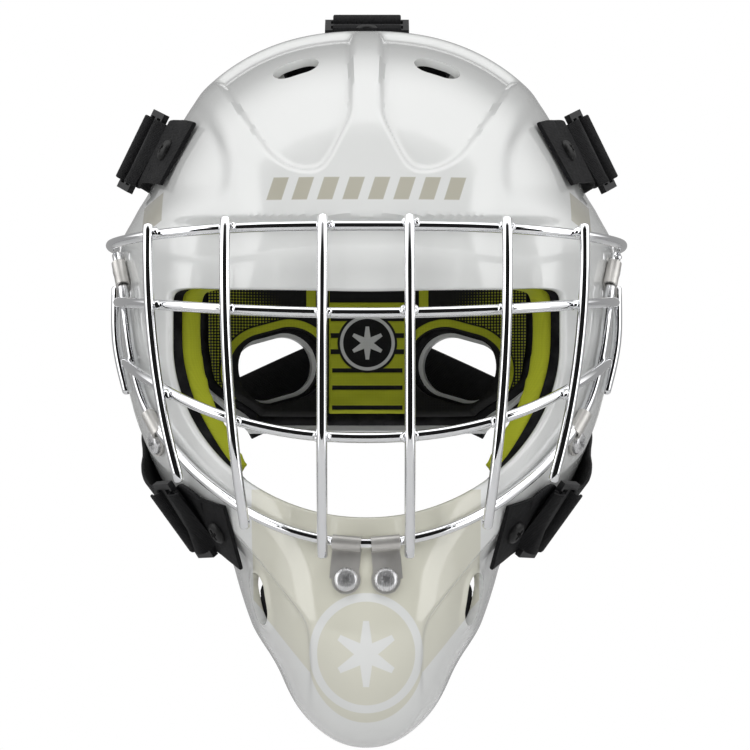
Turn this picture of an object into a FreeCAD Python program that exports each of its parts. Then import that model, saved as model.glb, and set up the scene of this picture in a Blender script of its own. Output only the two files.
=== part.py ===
"""Ice-hockey goalie mask: composite shell, welded wire cage, elastic harness, back plate and padding.

Units are millimetres. The origin is the centre of the wearer's head. +X is to the right as seen from in
front, +Y points to the back of the head and +Z up, so the face looks along -Y. Left and right in names are
-X and +X.
"""

import FreeCAD, Part  # noqa: E401  FreeCAD has to come first

import math
import os

from FreeCAD import Vector

# ---------------------------------------------------------------- driving dimensions

# The head form is a superellipsoid about the origin, narrowed at the jaw and pushed forward at the chin.
HALF_WIDTH = 121.0  # ear to ear, at the widest
FRONT_REACH = 133.0
BACK_REACH = 128.0
CROWN_HEIGHT = 160.0
CHIN_DEPTH = 181.5
PLAN_POWER = 2.3  # squareness seen from above
CROWN_POWER = 2.35  # squareness of the upper half seen from in front
CHIN_POWER = 2.0
CHIN_SLOPE = 0.62  # forward push of the chin, per mm down
CHIN_START = 38.0  # depth below the origin where the push sets in

SHELL_THICKNESS = 4.0
REAR_TOP_ANGLE = 115.5  # rear edge at the crown, degrees from the face axis
REAR_CHIN_ANGLE = 83.5  # rear edge under the chin

# Eye opening, seen from in front
EYE_CENTRE_Z = 5.0
EYE_HALF_WIDTH = 93.0
EYE_RISE = 28.0
EYE_DROP = 78.2
EYE_TOP_POWER = 16.0
EYE_BOTTOM_POWER = 2.0

# Relief pressed into the shell
SCOOP_DEPTH = 4.0
SCOOP_INNER_X = 6.8
SCOOP_FOOT_Z = 85.5
SCOOP_SIDE = ((46.4, 96.0), (69.4, 129.4))  # two points of its outer edge, as x and z seen from in front
HARNESS_RECESS = 3.5
TEMPLE_FLARE = 3.0
BROW_LEDGE_Z = 65.0
BROW_RECESS = 9.0
CHIN_FACET = 2.5

# Wire cage
WIRE = 4.76  # 3/16 inch
WIRE_GAP = 0.04
WIRE_STANDOFF = 1.2  # between the perimeter wire and the shell
CAGE_HALF_WIDTH = 113.2
CAGE_BACK_Y = -45.0
CAGE_POWER = 2.6
UPRIGHT_TOPS = (19.5, 63.5, 99.5)
UPRIGHT_FEET = (19.5, 54.0, 84.0)
FOOT_HEIGHTS = (-88.5, -75.5, -55.0)
# Stations of the perimeter wire up each side, as x and z seen from in front
SIDE_STATIONS = (
    (97.0, -33.0), (104.0, -20.0), (108.0, -6.0), (111.0, 8.0), (113.0, 22.0), (114.6, 36.0), (115.8, 49.0))

# Cage clips
CLIP_WIDTH = 13.0
CLIP_SHEET = 1.0
CLIP_LIFT = 0.9  # between the clip's tab and the shell, taken up by paint and a washer
SCREW_HEAD_RADIUS = 5.4
SCREW_RADIUS = 2.4
SCREW_LENGTH = 8.5
NUT_BARREL_RADIUS = 3.6
NUT_FLANGE_RADIUS = 7.0
NUT_FLANGE_SHEET = 1.2

# Harness
STRAP_WIDTH = 34.0
STRAP_SHEET = 1.6
REAR_STRAP_WIDTH = 32.0
TAB_SHEET = 2.0
TAB_SCREW_SHARE = 0.32  # of the way from the tab's front edge to the buckle
BUCKLE_SIZE = (14.0, 42.0, 3.0)  # along the strap, across it, and thickness
BUCKLE_WINDOW = (4.0, 36.0)
BUCKLE_TILT = {"top": 38.0, "upper": 28.0, "lower": 14.0}  # degrees, rear edge lifted by the strap's pull

# Back plate and padding. Each gap is measured inwards from the head form.
PLATE_GAP = 7.0
PLATE_SHEET = 3.0
BASE_FOAM = 6.0
FACE_PAD = 6.0
GLUE_LINE = 0.4
PLATE_TOP_Z = 128.0
PLATE_BOTTOM_Z = -42.0
PLATE_VENT = (47.0, 33.0)
CENTRE_PAD_HALF_WIDTH = 27.0
PAD_CLEARANCE = 0.6
CHEEK_FOAM = 8.5
CHEEK_LINER = 10.5
CROWN_PAD = 12.0
SWEATBAND = 10.0
JAW_PAD = 11.0

# Chin sling
CHIN_PIVOT = FreeCAD.Vector(58.4, -70.0, -82.0)  # the right-hand snap
CUP_CENTRE = FreeCAD.Vector(0.0, -90.0, -96.0)
CUP_RADII = (36.0, 27.0, 22.0)
CUP_SHEET = 3.0
SNAP_RADIUS = 5.0
SNAP_SPAN = (61.2, 63.6)  # x of its two ends

GRID_COLUMNS = 96  # pole columns round the shell
GRID_ROWS = 20  # pole rows from the eye opening to the rear edge


# ---------------------------------------------------------------- small maths


def step(value, low, high):
    """0 below low, 1 above high, and a smooth rise between."""
    t = min(1.0, max(0.0, (value - low) / (high - low)))
    return t * t * (3.0 - 2.0 * t)


def mix(a, b, t):
    return a + (b - a) * t


def soft_min(a, b, blend):
    """The smaller of two values, with the corner between them rounded over blend."""
    h = min(1.0, max(0.0, 0.5 + 0.5 * (b - a) / blend))
    return mix(b, a, h) - blend * h * (1.0 - h)


def unit(v):
    return v * (1.0 / v.Length)


# ---------------------------------------------------------------- the head form


def jaw_scale(z):
    """How much of the full width is left at height z."""
    ear = 0.07 * step(-z, -15.0, 45.0)
    jaw = 0.15 * step(-z, 25.0, 100.0) + 0.13 * step(-z, 60.0, 102.0)
    return 1.0 - ear - jaw - 0.05 * step(-z, 125.0, 150.0)


def chin_push(z):
    """How far the form is pushed forward at height z. The rise is a ramp with a rounded start."""
    below = -z - CHIN_START
    return CHIN_SLOPE * (math.hypot(below, 20.0) + below) / 2.0


def height_share(z):
    """The size of the horizontal section at height z, as a share of the full one, before the taper."""
    reach, power = (CROWN_HEIGHT, CROWN_POWER) if z > 0 else (CHIN_DEPTH, CHIN_POWER)
    return max(0.0, 1.0 - (abs(z) / reach) ** power) ** (1.0 / power)


def front_direction(x, z):
    """The direction, from the head centre, of the skin point seen at x, z from in front."""
    plain_x = abs(x) / jaw_scale(z) / HALF_WIDTH
    rest = max(1e-9, height_share(z) ** PLAN_POWER - plain_x**PLAN_POWER)
    y = -FRONT_REACH * rest ** (1.0 / PLAN_POWER)
    return Vector(math.copysign(plain_x * HALF_WIDTH, x), y, z)


def side_direction(y, z, side):
    """The direction of the skin point seen at y, z from the side. side is -1 for left and 1 for right."""
    plain_y = y + chin_push(z)
    reach = FRONT_REACH if plain_y < 0 else BACK_REACH
    rest = max(1e-9, height_share(z) ** PLAN_POWER - (abs(plain_y) / reach) ** PLAN_POWER)
    return Vector(side * HALF_WIDTH * rest ** (1.0 / PLAN_POWER), plain_y, z)


def back_direction(x, z):
    rest = max(1e-9, height_share(z) ** PLAN_POWER - (abs(x) / HALF_WIDTH) ** PLAN_POWER)
    return Vector(x, BACK_REACH * rest ** (1.0 / PLAN_POWER), z)


def top_direction(x, y):
    reach = FRONT_REACH if y < 0 else BACK_REACH
    plan = (abs(x) / HALF_WIDTH) ** PLAN_POWER + (abs(y) / reach) ** PLAN_POWER
    z = CROWN_HEIGHT * (1.0 - plan ** (CROWN_POWER / PLAN_POWER)) ** (1.0 / CROWN_POWER)
    return Vector(x, y, z)


def scoop_relief(x, y, z):
    """The two scoops in the forehead, either side of the centre panel. They end in a lip at the crown."""
    inner_edge = SCOOP_INNER_X + 9.0 * step(-z, -118.0, -90.0)
    (low_x, low_z), (high_x, high_z) = SCOOP_SIDE
    run, rise = high_x - low_x, high_z - low_z
    from_side = ((low_x - x) * rise + (z - low_z) * run) / math.hypot(run, rise)
    inside = soft_min(soft_min(x - inner_edge, from_side, 10.0), z - SCOOP_FOOT_Z, 14.0)
    return -SCOOP_DEPTH * step(inside, -1.5, 2.5) * step(-y, 26.0, 38.0)


def harness_relief(x, y, z):
    """The recess under each upper harness tab, and the flare of the temple below it."""
    edge = 60.0 + 19.0 * step(z, 88.0, 140.0)
    forward = step(-y, -60.0, -20.0)
    recess = step(x - edge, -3.0, 12.0) * step(z, 66.0, 84.0) * (1.0 - step(z, 100.0, 140.0))
    flare = step(x, 90.0, 115.0) * step(z, 30.0, 52.0) * (1.0 - step(z, 56.0, 70.0))
    return (TEMPLE_FLARE * flare - HARNESS_RECESS * recess) * forward


def brow_relief(x, y, z):
    """The flat band behind the cage, set back under a ledge at the foot of the forehead."""
    band = step(BROW_LEDGE_Z - z, 0.0, 5.0) * step(z, -35.0, 20.0)
    return -BROW_RECESS * band * (1.0 - step(x, 66.0, 92.0)) * step(-y, 20.0, 60.0)


def chin_relief(x, z):
    """A crease runs down each side of the chin, and the facet outside it is pressed in."""
    above = z + 119.0
    crease = 25.0 + (math.hypot(above, 6.0) + above) * 0.46
    reach = step(x, 12.0, 24.0) * (1.0 - step(z, -92.0, -74.0)) * step(z, -166.0, -138.0)
    return -CHIN_FACET * step(x - crease, -2.5, 3.5) * reach


def relief(p):
    x, y, z = abs(p.x), p.y, p.z
    if z > 15.0:
        return scoop_relief(x, y, z) + harness_relief(x, y, z) + brow_relief(x, y, z)
    if z > -60.0:
        return brow_relief(x, y, z)
    return chin_relief(x, z)


def form(direction):
    """The smooth head form in a direction, with no relief."""
    reach = FRONT_REACH if direction.y < 0 else BACK_REACH
    plan = (abs(direction.x) / HALF_WIDTH) ** PLAN_POWER + (abs(direction.y) / reach) ** PLAN_POWER
    height, power = (CROWN_HEIGHT, CROWN_POWER) if direction.z > 0 else (CHIN_DEPTH, CHIN_POWER)
    # A ray meets the skin where plan and height shares add up to 1. Both halves are solved by the same steps.
    scale = (plan ** (power / PLAN_POWER) + (abs(direction.z) / height) ** power) ** (-1.0 / power)
    p = direction * scale
    return Vector(p.x * jaw_scale(p.z), p.y - chin_push(p.z), p.z)


def normal(direction, of=form):
    """The outward normal of the smooth form, or of another surface given by direction."""
    d = unit(direction)
    side = unit(d.cross(Vector(0, 0, 1) if abs(d.z) < 0.9 else Vector(0, 1, 0)))
    up = side.cross(d)
    span = 0.004
    across = of(d + side * span) - of(d - side * span)
    along = of(d + up * span) - of(d - up * span)
    n = unit(across.cross(along))
    return n if n.dot(d) > 0 else n * -1.0


def skin(direction, lift=0.0):
    """A point of the shell's outer skin, or lift outside it. A negative lift is inside."""
    p = form(direction)
    return p + normal(direction) * (relief(p) + lift)


# ---------------------------------------------------------------- solids from grids of poles


def clamped_knots(count):
    spans = count - 3
    return [4] + [1] * (spans - 1) + [4], list(range(spans + 1))


def ring_knots(count):
    return [1] * (count + 1), list(range(count + 1))


def surface(poles, ring=False):
    """A cubic surface with these poles. A ring closes along its rows."""
    rows_mults, rows_knots = clamped_knots(len(poles))
    across_mults, across_knots = (ring_knots if ring else clamped_knots)(len(poles[0]))
    s = Part.BSplineSurface()
    s.buildFromPolesMultsKnots(
        poles, rows_mults, across_mults, rows_knots, across_knots, False, ring, 3, 3
    )
    return s.toShape()


def edge(poles, ring=False):
    mults, knots = (ring_knots if ring else clamped_knots)(len(poles))
    c = Part.BSplineCurve()
    c.buildFromPolesMultsKnots(poles, mults, knots, ring, 3)
    return c.toShape()


def sewn(faces):
    shell = Part.Shell(faces) if len(faces) < 3 else Part.makeShell(faces)
    shell.sewShape()
    solid = Part.Solid(shell if shell.ShapeType == "Shell" else shell.Shells[0])
    if solid.Volume < 0:
        solid.reverse()
    return solid


def slab(front, back):
    """The solid between two grids of poles of one size."""
    faces = [surface(front), surface(back)]
    rims = [
        (front[0], back[0]),
        (front[-1], back[-1]),
        ([r[0] for r in front], [r[0] for r in back]),
        ([r[-1] for r in front], [r[-1] for r in back]),
    ]
    faces += [Part.makeRuledSurface(edge(a), edge(b)) for a, b in rims]
    return sewn(faces)


def round_tube(path, radius):
    """A round wire along a path, with domed ends."""
    around = 12
    swell = 3.0 / (2.0 + math.cos(2.0 * math.pi / around))
    ends = [(0.0, 0.45), (0.12, 0.8), (0.45, 0.97)]
    stations = [(path[0] + unit(path[1] - path[0]) * radius * a, r) for a, r in ends]
    stations += [(p, 1.0) for p in path[1:-1]]
    stations += [(path[-1] + unit(path[-2] - path[-1]) * radius * a, r) for a, r in reversed(ends)]
    rings, side = [], None
    for i, (p, share) in enumerate(stations):
        ahead = unit(stations[min(i + 1, len(stations) - 1)][0] - stations[max(i - 1, 0)][0])
        if side is None:
            side = ahead.cross(Vector(0, 0, 1) if abs(ahead.z) < 0.8 else Vector(1, 0, 0))
        side = unit(side - ahead * side.dot(ahead))
        other = ahead.cross(side)
        reach = radius * swell * share
        turn = [2.0 * math.pi * k / around for k in range(around)]
        rings.append([p + (side * math.cos(t) + other * math.sin(t)) * reach for t in turn])
    skin_face = surface(rings, ring=True)
    caps = [Part.Face(Part.Wire([edge(r, ring=True)])) for r in (rings[0], rings[-1])]
    return sewn([skin_face] + caps)


def band(centres, across, outward, width, thickness):
    """A flat strap along centres. across and outward are unit vectors at each centre."""
    front, back = [], []
    for c, a, n in zip(centres, across, outward):
        for grid, lift in ((front, 0.5), (back, -0.5)):
            grid.append([c + a * width * k + n * thickness * lift for k in (-0.5, -0.17, 0.17, 0.5)])
    return slab(front, back)


def plate_frame(at, along, outward):
    """A placement with X along the plate and Z out of it."""
    z = unit(outward)
    x = unit(along - z * along.dot(z))
    y = z.cross(x)
    m = FreeCAD.Matrix(x.x, y.x, z.x, at.x, x.y, y.y, z.y, at.y, x.z, y.z, z.z, at.z, 0, 0, 0, 1)
    return FreeCAD.Placement(m)


def placed(shape, placement):
    shape = shape.copy()
    shape.Placement = placement
    return shape


def oval_cutter(direction, long_side, short_side, tilt_axis):
    """A stadium-shaped punch through the shell, its long side along tilt_axis."""
    at, n = form(direction), normal(direction)
    run = (long_side - short_side) / 2.0
    core = Part.makeBox(2 * run, short_side, 60.0, Vector(-run, -short_side / 2.0, -30.0))
    ends = [Part.makeCylinder(short_side / 2.0, 60.0, Vector(s * run, 0, -30.0)) for s in (-1, 1)]
    return placed(core.multiFuse(ends), plate_frame(at, tilt_axis, n))


# ---------------------------------------------------------------- shell


def eye_outline(angle):
    """The eye opening's edge, seen from in front, at an angle from straight up."""
    s, c = math.sin(angle), math.cos(angle)
    reach, power = (EYE_RISE, EYE_TOP_POWER) if c > 0 else (EYE_DROP, EYE_BOTTOM_POWER)
    r = (abs(s / EYE_HALF_WIDTH) ** power + abs(c / reach) ** power) ** (-1.0 / power)
    return r * s, EYE_CENTRE_Z + r * c


def rear_direction(angle):
    from_top = abs((angle + math.pi) % (2.0 * math.pi) - math.pi)
    drop = step(math.degrees(from_top), 78.0, 150.0)
    v = math.radians(mix(REAR_TOP_ANGLE, REAR_CHIN_ANGLE, drop))
    return Vector(math.sin(v) * math.sin(angle), -math.cos(v), math.sin(v) * math.cos(angle))


def arc(start, end, share):
    """A unit direction at a share of the way round from start to end."""
    start, end = unit(start), unit(end)
    spread = start.getAngle(end)
    blend = start * math.sin((1.0 - share) * spread) + end * math.sin(share * spread)
    return blend * (1.0 / math.sin(spread))


def shell_direction(angle, share):
    """The direction at a share of the way from the eye opening, 0, to the rear edge, 1."""
    return arc(front_direction(*eye_outline(angle)), rear_direction(angle), share)


def make_shell():
    angles = [2.0 * math.pi * k / GRID_COLUMNS for k in range(GRID_COLUMNS)]
    shares = [k / (GRID_ROWS - 1.0) for k in range(GRID_ROWS)]
    ways = [[shell_direction(a, s) for a in angles] for s in shares]
    outer = [[skin(d) for d in row] for row in ways]
    inner = [[skin(d, -SHELL_THICKNESS) for d in row] for row in ways]
    faces = [surface(outer, ring=True), surface(inner, ring=True)]
    for row in (0, -1):
        faces.append(Part.makeRuledSurface(edge(outer[row], ring=True), edge(inner[row], ring=True)))
    solid = sewn(faces)
    return solid.cut(vent_cutters() + screw_holes())


def vent_cutters():
    """Crown vents, chin vents and ear slots, as punches."""
    cutters = []
    for s in (-1, 1):
        cutters.append(oval_cutter(front_direction(s * 34.5, 140.5), 21.5, 15.0, Vector(s, 0, -0.38)))
        cutters.append(oval_cutter(front_direction(s * 51.0, -111.0), 23.0, 15.5, Vector(-s * 0.25, 0, -1)))
        for k in range(3):
            at = side_direction(-30.0 + 12.0 * k, -20.0 - 5.0 * k, s)
            cutters.append(oval_cutter(at, 26.0, 6.0, Vector(0, 0.45, 1)))
    return cutters


# ---------------------------------------------------------------- cage


def cage_half_width(z):
    return CAGE_HALF_WIDTH + 10.0 * step(z, -20.0, 75.0)


def cage_depth(z):
    """How far the cage stands in front of CAGE_BACK_Y on the centre line."""
    return 122.0 - 24.0 * ((z + 20.0) / 78.0) ** 2


def cage_point(x, z, out=0.0):
    """A point of the cage, seen at x, z from in front, standing out from the bars' own surface."""
    half_width = cage_half_width(z) + out
    rest = max(0.0, 1.0 - (abs(x) / half_width) ** CAGE_POWER)
    return Vector(x, CAGE_BACK_Y - (cage_depth(z) + out) * rest ** (1.0 / CAGE_POWER), z)


def cross_bar(height_at, half_angle, tail, count=33):
    """A bar from side to side. height_at gives its z at x, and tail runs straight back at each end."""
    points = []
    for k in range(count):
        angle = math.radians(half_angle) * (2.0 * k / (count - 1.0) - 1.0)
        share = math.copysign(abs(math.sin(angle)) ** (2.0 / CAGE_POWER), angle)
        x = share * cage_half_width(height_at(share * CAGE_HALF_WIDTH))
        points.append(cage_point(x, height_at(x)))
    before = [points[0] + Vector(0, tail * k / 2.0, 0) for k in (2, 1)]
    after = [points[-1] + Vector(0, tail * k / 2.0, 0) for k in (1, 2)]
    return before + points + after


def top_bar_height(x):
    return 59.0 - 6.0 * (abs(x) / 122.0) ** 3


def brow_bar_height(x):
    return 19.5 + 6.5 * (abs(x) / 115.0) ** 2


def cheek_bar_height(x):
    return -36.0 + 34.0 * (abs(x) / 113.0) ** 2.2


def perimeter_height(x):
    """The perimeter wire's z at x, seen from in front, where it runs under the eye opening."""
    return -85.5 + 50.0 * (abs(x) / 97.0) ** 2


def wire_on_shell(x, z):
    """The centre of a wire that lies just off the shell."""
    return skin(front_direction(x * 0.978, z * 0.985), WIRE / 2.0 + WIRE_STANDOFF)


def perimeter_path():
    """From under the left end of the top bar, down round the chin, and up to the right end."""
    under = [9.0 * k for k in range(10)]
    right = [wire_on_shell(x, perimeter_height(x)) for x in under]
    right += [wire_on_shell(x, z) for x, z in SIDE_STATIONS]
    left = [Vector(-p.x, p.y, p.z) for p in right[1:]]
    return left[::-1] + right


def upright_path(number, side):
    """An upright stands in front of the cross bars and ends in front of the perimeter wire."""
    top_x, foot_x = UPRIGHT_TOPS[number], UPRIGHT_FEET[number]
    top_z, foot_z = top_bar_height(top_x) + 4.0, FOOT_HEIGHTS[number]
    crossing = wire_on_shell(foot_x, perimeter_height(foot_x))
    clear = WIRE + WIRE_GAP
    foot = cage_point(crossing.x, crossing.z, clear)
    push = min(0.0, crossing.y - 1.06 * clear - foot.y)
    points = []
    for k in range(17):
        t = k / 16.0
        z = mix(top_z, foot_z, t)
        p = cage_point(side * mix(top_x, foot_x, t**2.2), z, clear)
        points.append(p + Vector(0, push * step(-z, -crossing.z - 40.0, -crossing.z), 0))
    return points


def ear_bar_path(side):
    """A short bar behind the perimeter wire that the ends of the brow and cheek bars butt against."""
    ways = [side_direction(mix(-41.0, -54.0, k / 6.0), mix(33.0, -15.0, k / 6.0), side) for k in range(7)]
    return [skin(d, WIRE / 2.0 + WIRE_STANDOFF) for d in ways]


def make_cage():
    radius = WIRE / 2.0
    nodes = {
        "cage_top_bar": round_tube(cross_bar(top_bar_height, 87.0, 20.0), radius),
        "cage_brow_bar": round_tube(cross_bar(brow_bar_height, 86.0, 12.0), radius),
        "cage_cheek_bar": round_tube(cross_bar(cheek_bar_height, 84.0, 9.0), radius),
        "cage_perimeter_wire": round_tube(perimeter_path(), radius),
    }
    for side, hand in ((-1, "left"), (1, "right")):
        nodes[f"cage_ear_bar_{hand}"] = round_tube(ear_bar_path(side), radius)
        for number, name in enumerate(("inner", "middle", "outer")):
            nodes[f"cage_upright_{name}_{hand}"] = round_tube(upright_path(number, side), radius)
    return nodes


# ---------------------------------------------------------------- cage clips


def clip_site(place, side):
    """The wire's centre, its direction, and the direction of the screw, for one clip."""
    if place == "chin":
        wire = [wire_on_shell(side * x, perimeter_height(x)) for x in (6.0, 8.5, 11.0)]
        screw = front_direction(side * 8.6, -99.5)
    elif place == "lower":
        wire = [wire_on_shell(side * x, z) for x, z in ((95.0, -36.0), (98.5, -30.5), (102.0, -24.5))]
        screw = side_direction(wire[1].y + 9.0, wire[1].z - 8.5, side)
    else:
        wire = [wire_on_shell(side * x, z) for x, z in ((115.3, 45.0), (114.9, 40.0), (114.5, 35.0))]
        screw = side_direction(wire[1].y + 14.0, 42.0, side)
    return wire[1], unit(wire[2] - wire[0]), screw


def clip_placements(place, side):
    """Placements of the clip on its wire and of its screw. Y runs from the wire to the screw, Z out."""
    wire, along, screw = clip_site(place, side)
    drop = WIRE / 2.0 + CLIP_SHEET
    foot = skin(screw, drop + CLIP_LIFT)
    out = normal(screw)
    y = unit(foot - wire)
    y = unit(y - along * y.dot(along))
    z = along.cross(y)
    x = along
    if z.dot(out) < 0:
        x, z = x * -1.0, z * -1.0
    frame = plate_frame(wire, x, z)
    reach = frame.inverse().multVec(foot)
    return frame, reach.x, reach.y


def clip_shape(reach_x, reach_y):
    """A sleeve round the wire with a round-ended tab to the screw."""
    inner = WIRE / 2.0 + 0.05
    outer = inner + CLIP_SHEET
    half = CLIP_WIDTH / 2.0
    axis = Vector(1, 0, 0)
    sleeve = Part.makeCylinder(outer, CLIP_WIDTH, Vector(-half, 0, 0), axis)
    tab = Part.makeBox(CLIP_WIDTH, reach_y, CLIP_SHEET, Vector(-half, 0, -outer))
    end = Part.makeCylinder(half, CLIP_SHEET, Vector(reach_x, reach_y, -outer))
    body = sleeve.multiFuse([tab, end]).removeSplitter()
    bore = Part.makeCylinder(inner, 60.0, Vector(-30.0, 0, 0), axis)
    hole = Part.makeCylinder(SCREW_RADIUS + 0.2, 20.0, Vector(reach_x, reach_y, -10.0))
    return body.cut([bore, hole])


def screw_shape():
    """A pan-head screw. Z is 0 under the head and points out."""
    head = Part.makeCylinder(SCREW_HEAD_RADIUS, 2.6)
    dome = Part.makeSphere(9.5, Vector(0, 0, -6.9))
    shank = Part.makeCylinder(SCREW_RADIUS, SCREW_LENGTH, Vector(0, 0, -SCREW_LENGTH))
    return head.common(dome).fuse(shank).removeSplitter()


def nut_shape(sink):
    """A T-nut whose barrel fills the shell's hole. Z is 0 at the shell's outer face."""
    under = -SHELL_THICKNESS - sink
    barrel = Part.makeCylinder(NUT_BARREL_RADIUS, -under, Vector(0, 0, under))
    flange = Part.makeCylinder(NUT_FLANGE_RADIUS, NUT_FLANGE_SHEET, Vector(0, 0, under - NUT_FLANGE_SHEET))
    bore = Part.makeCylinder(SCREW_RADIUS + 0.05, 20.0, Vector(0, 0, -15.0))
    return barrel.fuse(flange).cut(bore)


CLIP_PLACES = [(place, side) for place in ("upper", "lower", "chin") for side in (-1, 1)]


def screw_holes():
    """Punches through the shell for every screw."""
    punch = Part.makeCylinder(NUT_BARREL_RADIUS + 0.15, 24.0, Vector(0, 0, -18.0))
    return [placed(punch, frame) for frame, _ in nut_sites()]


def nut_pockets():
    """Round pockets that clear the nuts and screw tips, for padding that lies against the shell."""
    pockets = []
    for frame, sink in nut_sites():
        depth = SHELL_THICKNESS + sink + NUT_FLANGE_SHEET + 1.8
        pocket = Part.makeCylinder(NUT_FLANGE_RADIUS + 0.5, depth + 4.0, Vector(0, 0, -depth))
        pockets.append(placed(pocket, frame))
    return pockets


def clip_screw_frame(place, side):
    frame, x, y = clip_placements(place, side)
    return frame.multiply(FreeCAD.Placement(Vector(x, y, -WIRE / 2.0 - 0.05), FreeCAD.Rotation()))


def nut_sites():
    """Each nut's frame, at the shell's outer face, and the sink that keeps its flange off the slope."""
    down = FreeCAD.Placement(Vector(0, 0, -CLIP_SHEET - CLIP_LIFT), FreeCAD.Rotation())
    places = [(clip_screw_frame(*p).multiply(down), clip_site(*p)[2]) for p in CLIP_PLACES]
    for kind, side in STRAPS:
        d = tab_screw_direction(kind, side)
        places.append((plate_frame(skin(d), Vector(0, 0.3, 1), normal(d)), d))
    sites = []
    for frame, d in places:
        slope = frame.Rotation.multVec(Vector(0, 0, 1)).getAngle(normal(d, skin))
        sites.append((frame, NUT_FLANGE_RADIUS * math.tan(slope) + 0.9))
    return sites


def make_clips():
    nodes = {}
    wire = round_tube(perimeter_path(), WIRE / 2.0 + WIRE_GAP)
    for place, side in CLIP_PLACES:
        hand = "left" if side < 0 else "right"
        frame, x, y = clip_placements(place, side)
        nodes[f"clip_{place}_{hand}"] = placed(clip_shape(x, y), frame).cut(wire)
    screws = [placed(screw_shape(), clip_screw_frame(*place)) for place in CLIP_PLACES]
    nodes["cage_screws"] = Part.makeCompound(screws)
    nodes["t_nuts"] = Part.makeCompound([placed(nut_shape(sink), frame) for frame, sink in nut_sites()])
    return nodes


# ---------------------------------------------------------------- harness


STRAPS = [("top", 0), ("upper", -1), ("upper", 1), ("lower", -1), ("lower", 1)]


def strap_name(kind, side):
    return kind if side == 0 else kind + ("_left" if side < 0 else "_right")


def strap_ends(kind, side):
    """Directions at the tab's front edge, at the buckle and at the back plate."""
    if kind == "top":
        return top_direction(0, -2.0), top_direction(0, 30.0), back_direction(0, 112.0)
    if kind == "upper":
        return front_direction(side * 90.0, 97.0), side_direction(-10.0, 98.0, side), back_direction(
            side * 74.0, 76.0)
    return front_direction(side * 60.0, -82.0), front_direction(side * 80.0, -72.0), back_direction(
        side * 86.0, -14.0)


def strap_run(start, end, lifts, count):
    """Centres, across and outward vectors of a strap over the head form, at lifts from start to end."""
    shares = [k / (count - 1.0) for k in range(count)]
    ways = [arc(start, end, t) for t in shares]
    centres, across, outward = [], [], []
    for d, t in zip(ways, shares):
        n = normal(d)
        ahead = form(arc(start, end, t + 0.02)) - form(arc(start, end, t - 0.02))
        centres.append(form(d) + n * lifts(t))
        across.append(unit(n.cross(ahead)))
        outward.append(n)
    return centres, across, outward


def tab_lift(kind):
    """A tab's lift at each share of the way. The upper ones start down in the harness recess."""
    sunk = HARNESS_RECESS - 1.1 if kind == "upper" else 0.0
    return lambda t: TAB_SHEET / 2.0 + 0.4 - sunk * (1.0 - step(t, 0.5, 1.0))


def tab_screw_direction(kind, side):
    front, buckle, _ = strap_ends(kind, side)
    return arc(front, buckle, TAB_SCREW_SHARE)


def tab_screw_frame(kind, side):
    """On the outer face of the tab."""
    front, buckle, _ = strap_ends(kind, side)
    d = tab_screw_direction(kind, side)
    n = normal(d)
    lift = tab_lift(kind)(TAB_SCREW_SHARE) + TAB_SHEET / 2.0 + 0.05
    return plate_frame(form(d) + n * lift, form(buckle) - form(front), n)


def buckle_shape():
    length, width, thickness = BUCKLE_SIZE
    body = Part.makeBox(length, width, thickness, Vector(-length / 2.0, -width / 2.0, 0))
    window_length, window_width = BUCKLE_WINDOW
    cutters = []
    for s in (-1, 1):
        corner = Vector(s * 3.2 - window_length / 2.0, -window_width / 2.0, -1.0)
        cutters.append(Part.makeBox(window_length, window_width, thickness + 2.0, corner))
    return body.cut(cutters)


def buckle_frame(kind, side):
    """At the middle of the buckle's inner face, X towards the back plate and Z out."""
    _, buckle, rear = strap_ends(kind, side)
    tilt = BUCKLE_TILT[kind]
    n = normal(buckle)
    lift = TAB_SHEET + 0.7 + BUCKLE_SIZE[0] / 2.0 * math.sin(math.radians(tilt))
    flat = plate_frame(form(buckle) + n * lift, form(arc(buckle, rear, 0.05)) - form(buckle), n)
    return flat.multiply(FreeCAD.Placement(Vector(0, 0, 0), FreeCAD.Rotation(Vector(0, 1, 0), -tilt)))


def strap_path(kind, side):
    """Where a strap starts behind its buckle, where it ends, and its lift at each share of the way."""
    _, buckle, rear = strap_ends(kind, side)
    tilt = math.radians(BUCKLE_TILT[kind])
    length = (form(rear) - form(buckle)).Length
    start = arc(buckle, rear, (BUCKLE_SIZE[0] / 2.0 * math.cos(tilt) + 3.0) / length)
    at_buckle = TAB_SHEET + 2.0 + BUCKLE_SIZE[0] * math.sin(tilt)
    on_shell = 1.5 if kind == "lower" else 3.2
    on_plate = STRAP_SHEET / 2.0 + 0.3 - PLATE_GAP

    def lift(t):
        return mix(mix(at_buckle, on_shell, step(t, 0.0, 0.4)), on_plate, step(t, 0.5, 0.9))

    return start, rear, lift


def make_harness():
    nodes = {}
    for kind, side in STRAPS:
        name = strap_name(kind, side)
        front, buckle, _ = strap_ends(kind, side)
        tab = band(*strap_run(front, arc(front, buckle, 1.02), tab_lift(kind), 9), STRAP_WIDTH, TAB_SHEET)
        hole = Part.makeCylinder(SCREW_RADIUS + 0.2, 20.0, Vector(0, 0, -10.0))
        nodes[f"harness_tab_{name}"] = tab.cut(placed(hole, tab_screw_frame(kind, side)))
        nodes[f"buckle_{name}"] = placed(buckle_shape(), buckle_frame(kind, side))
        nodes[f"strap_{name}"] = band(*strap_run(*strap_path(kind, side), 21), STRAP_WIDTH, STRAP_SHEET)
    nodes["tab_screws"] = Part.makeCompound([placed(screw_shape(), tab_screw_frame(*s)) for s in STRAPS])
    return nodes


# ---------------------------------------------------------------- back plate


def plate_half_width(z):
    return mix(99.0, 40.0, step(z, 50.0, PLATE_TOP_Z)) - 28.0 * step(-z, 12.0, -PLATE_BOTTOM_Z)


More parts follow.
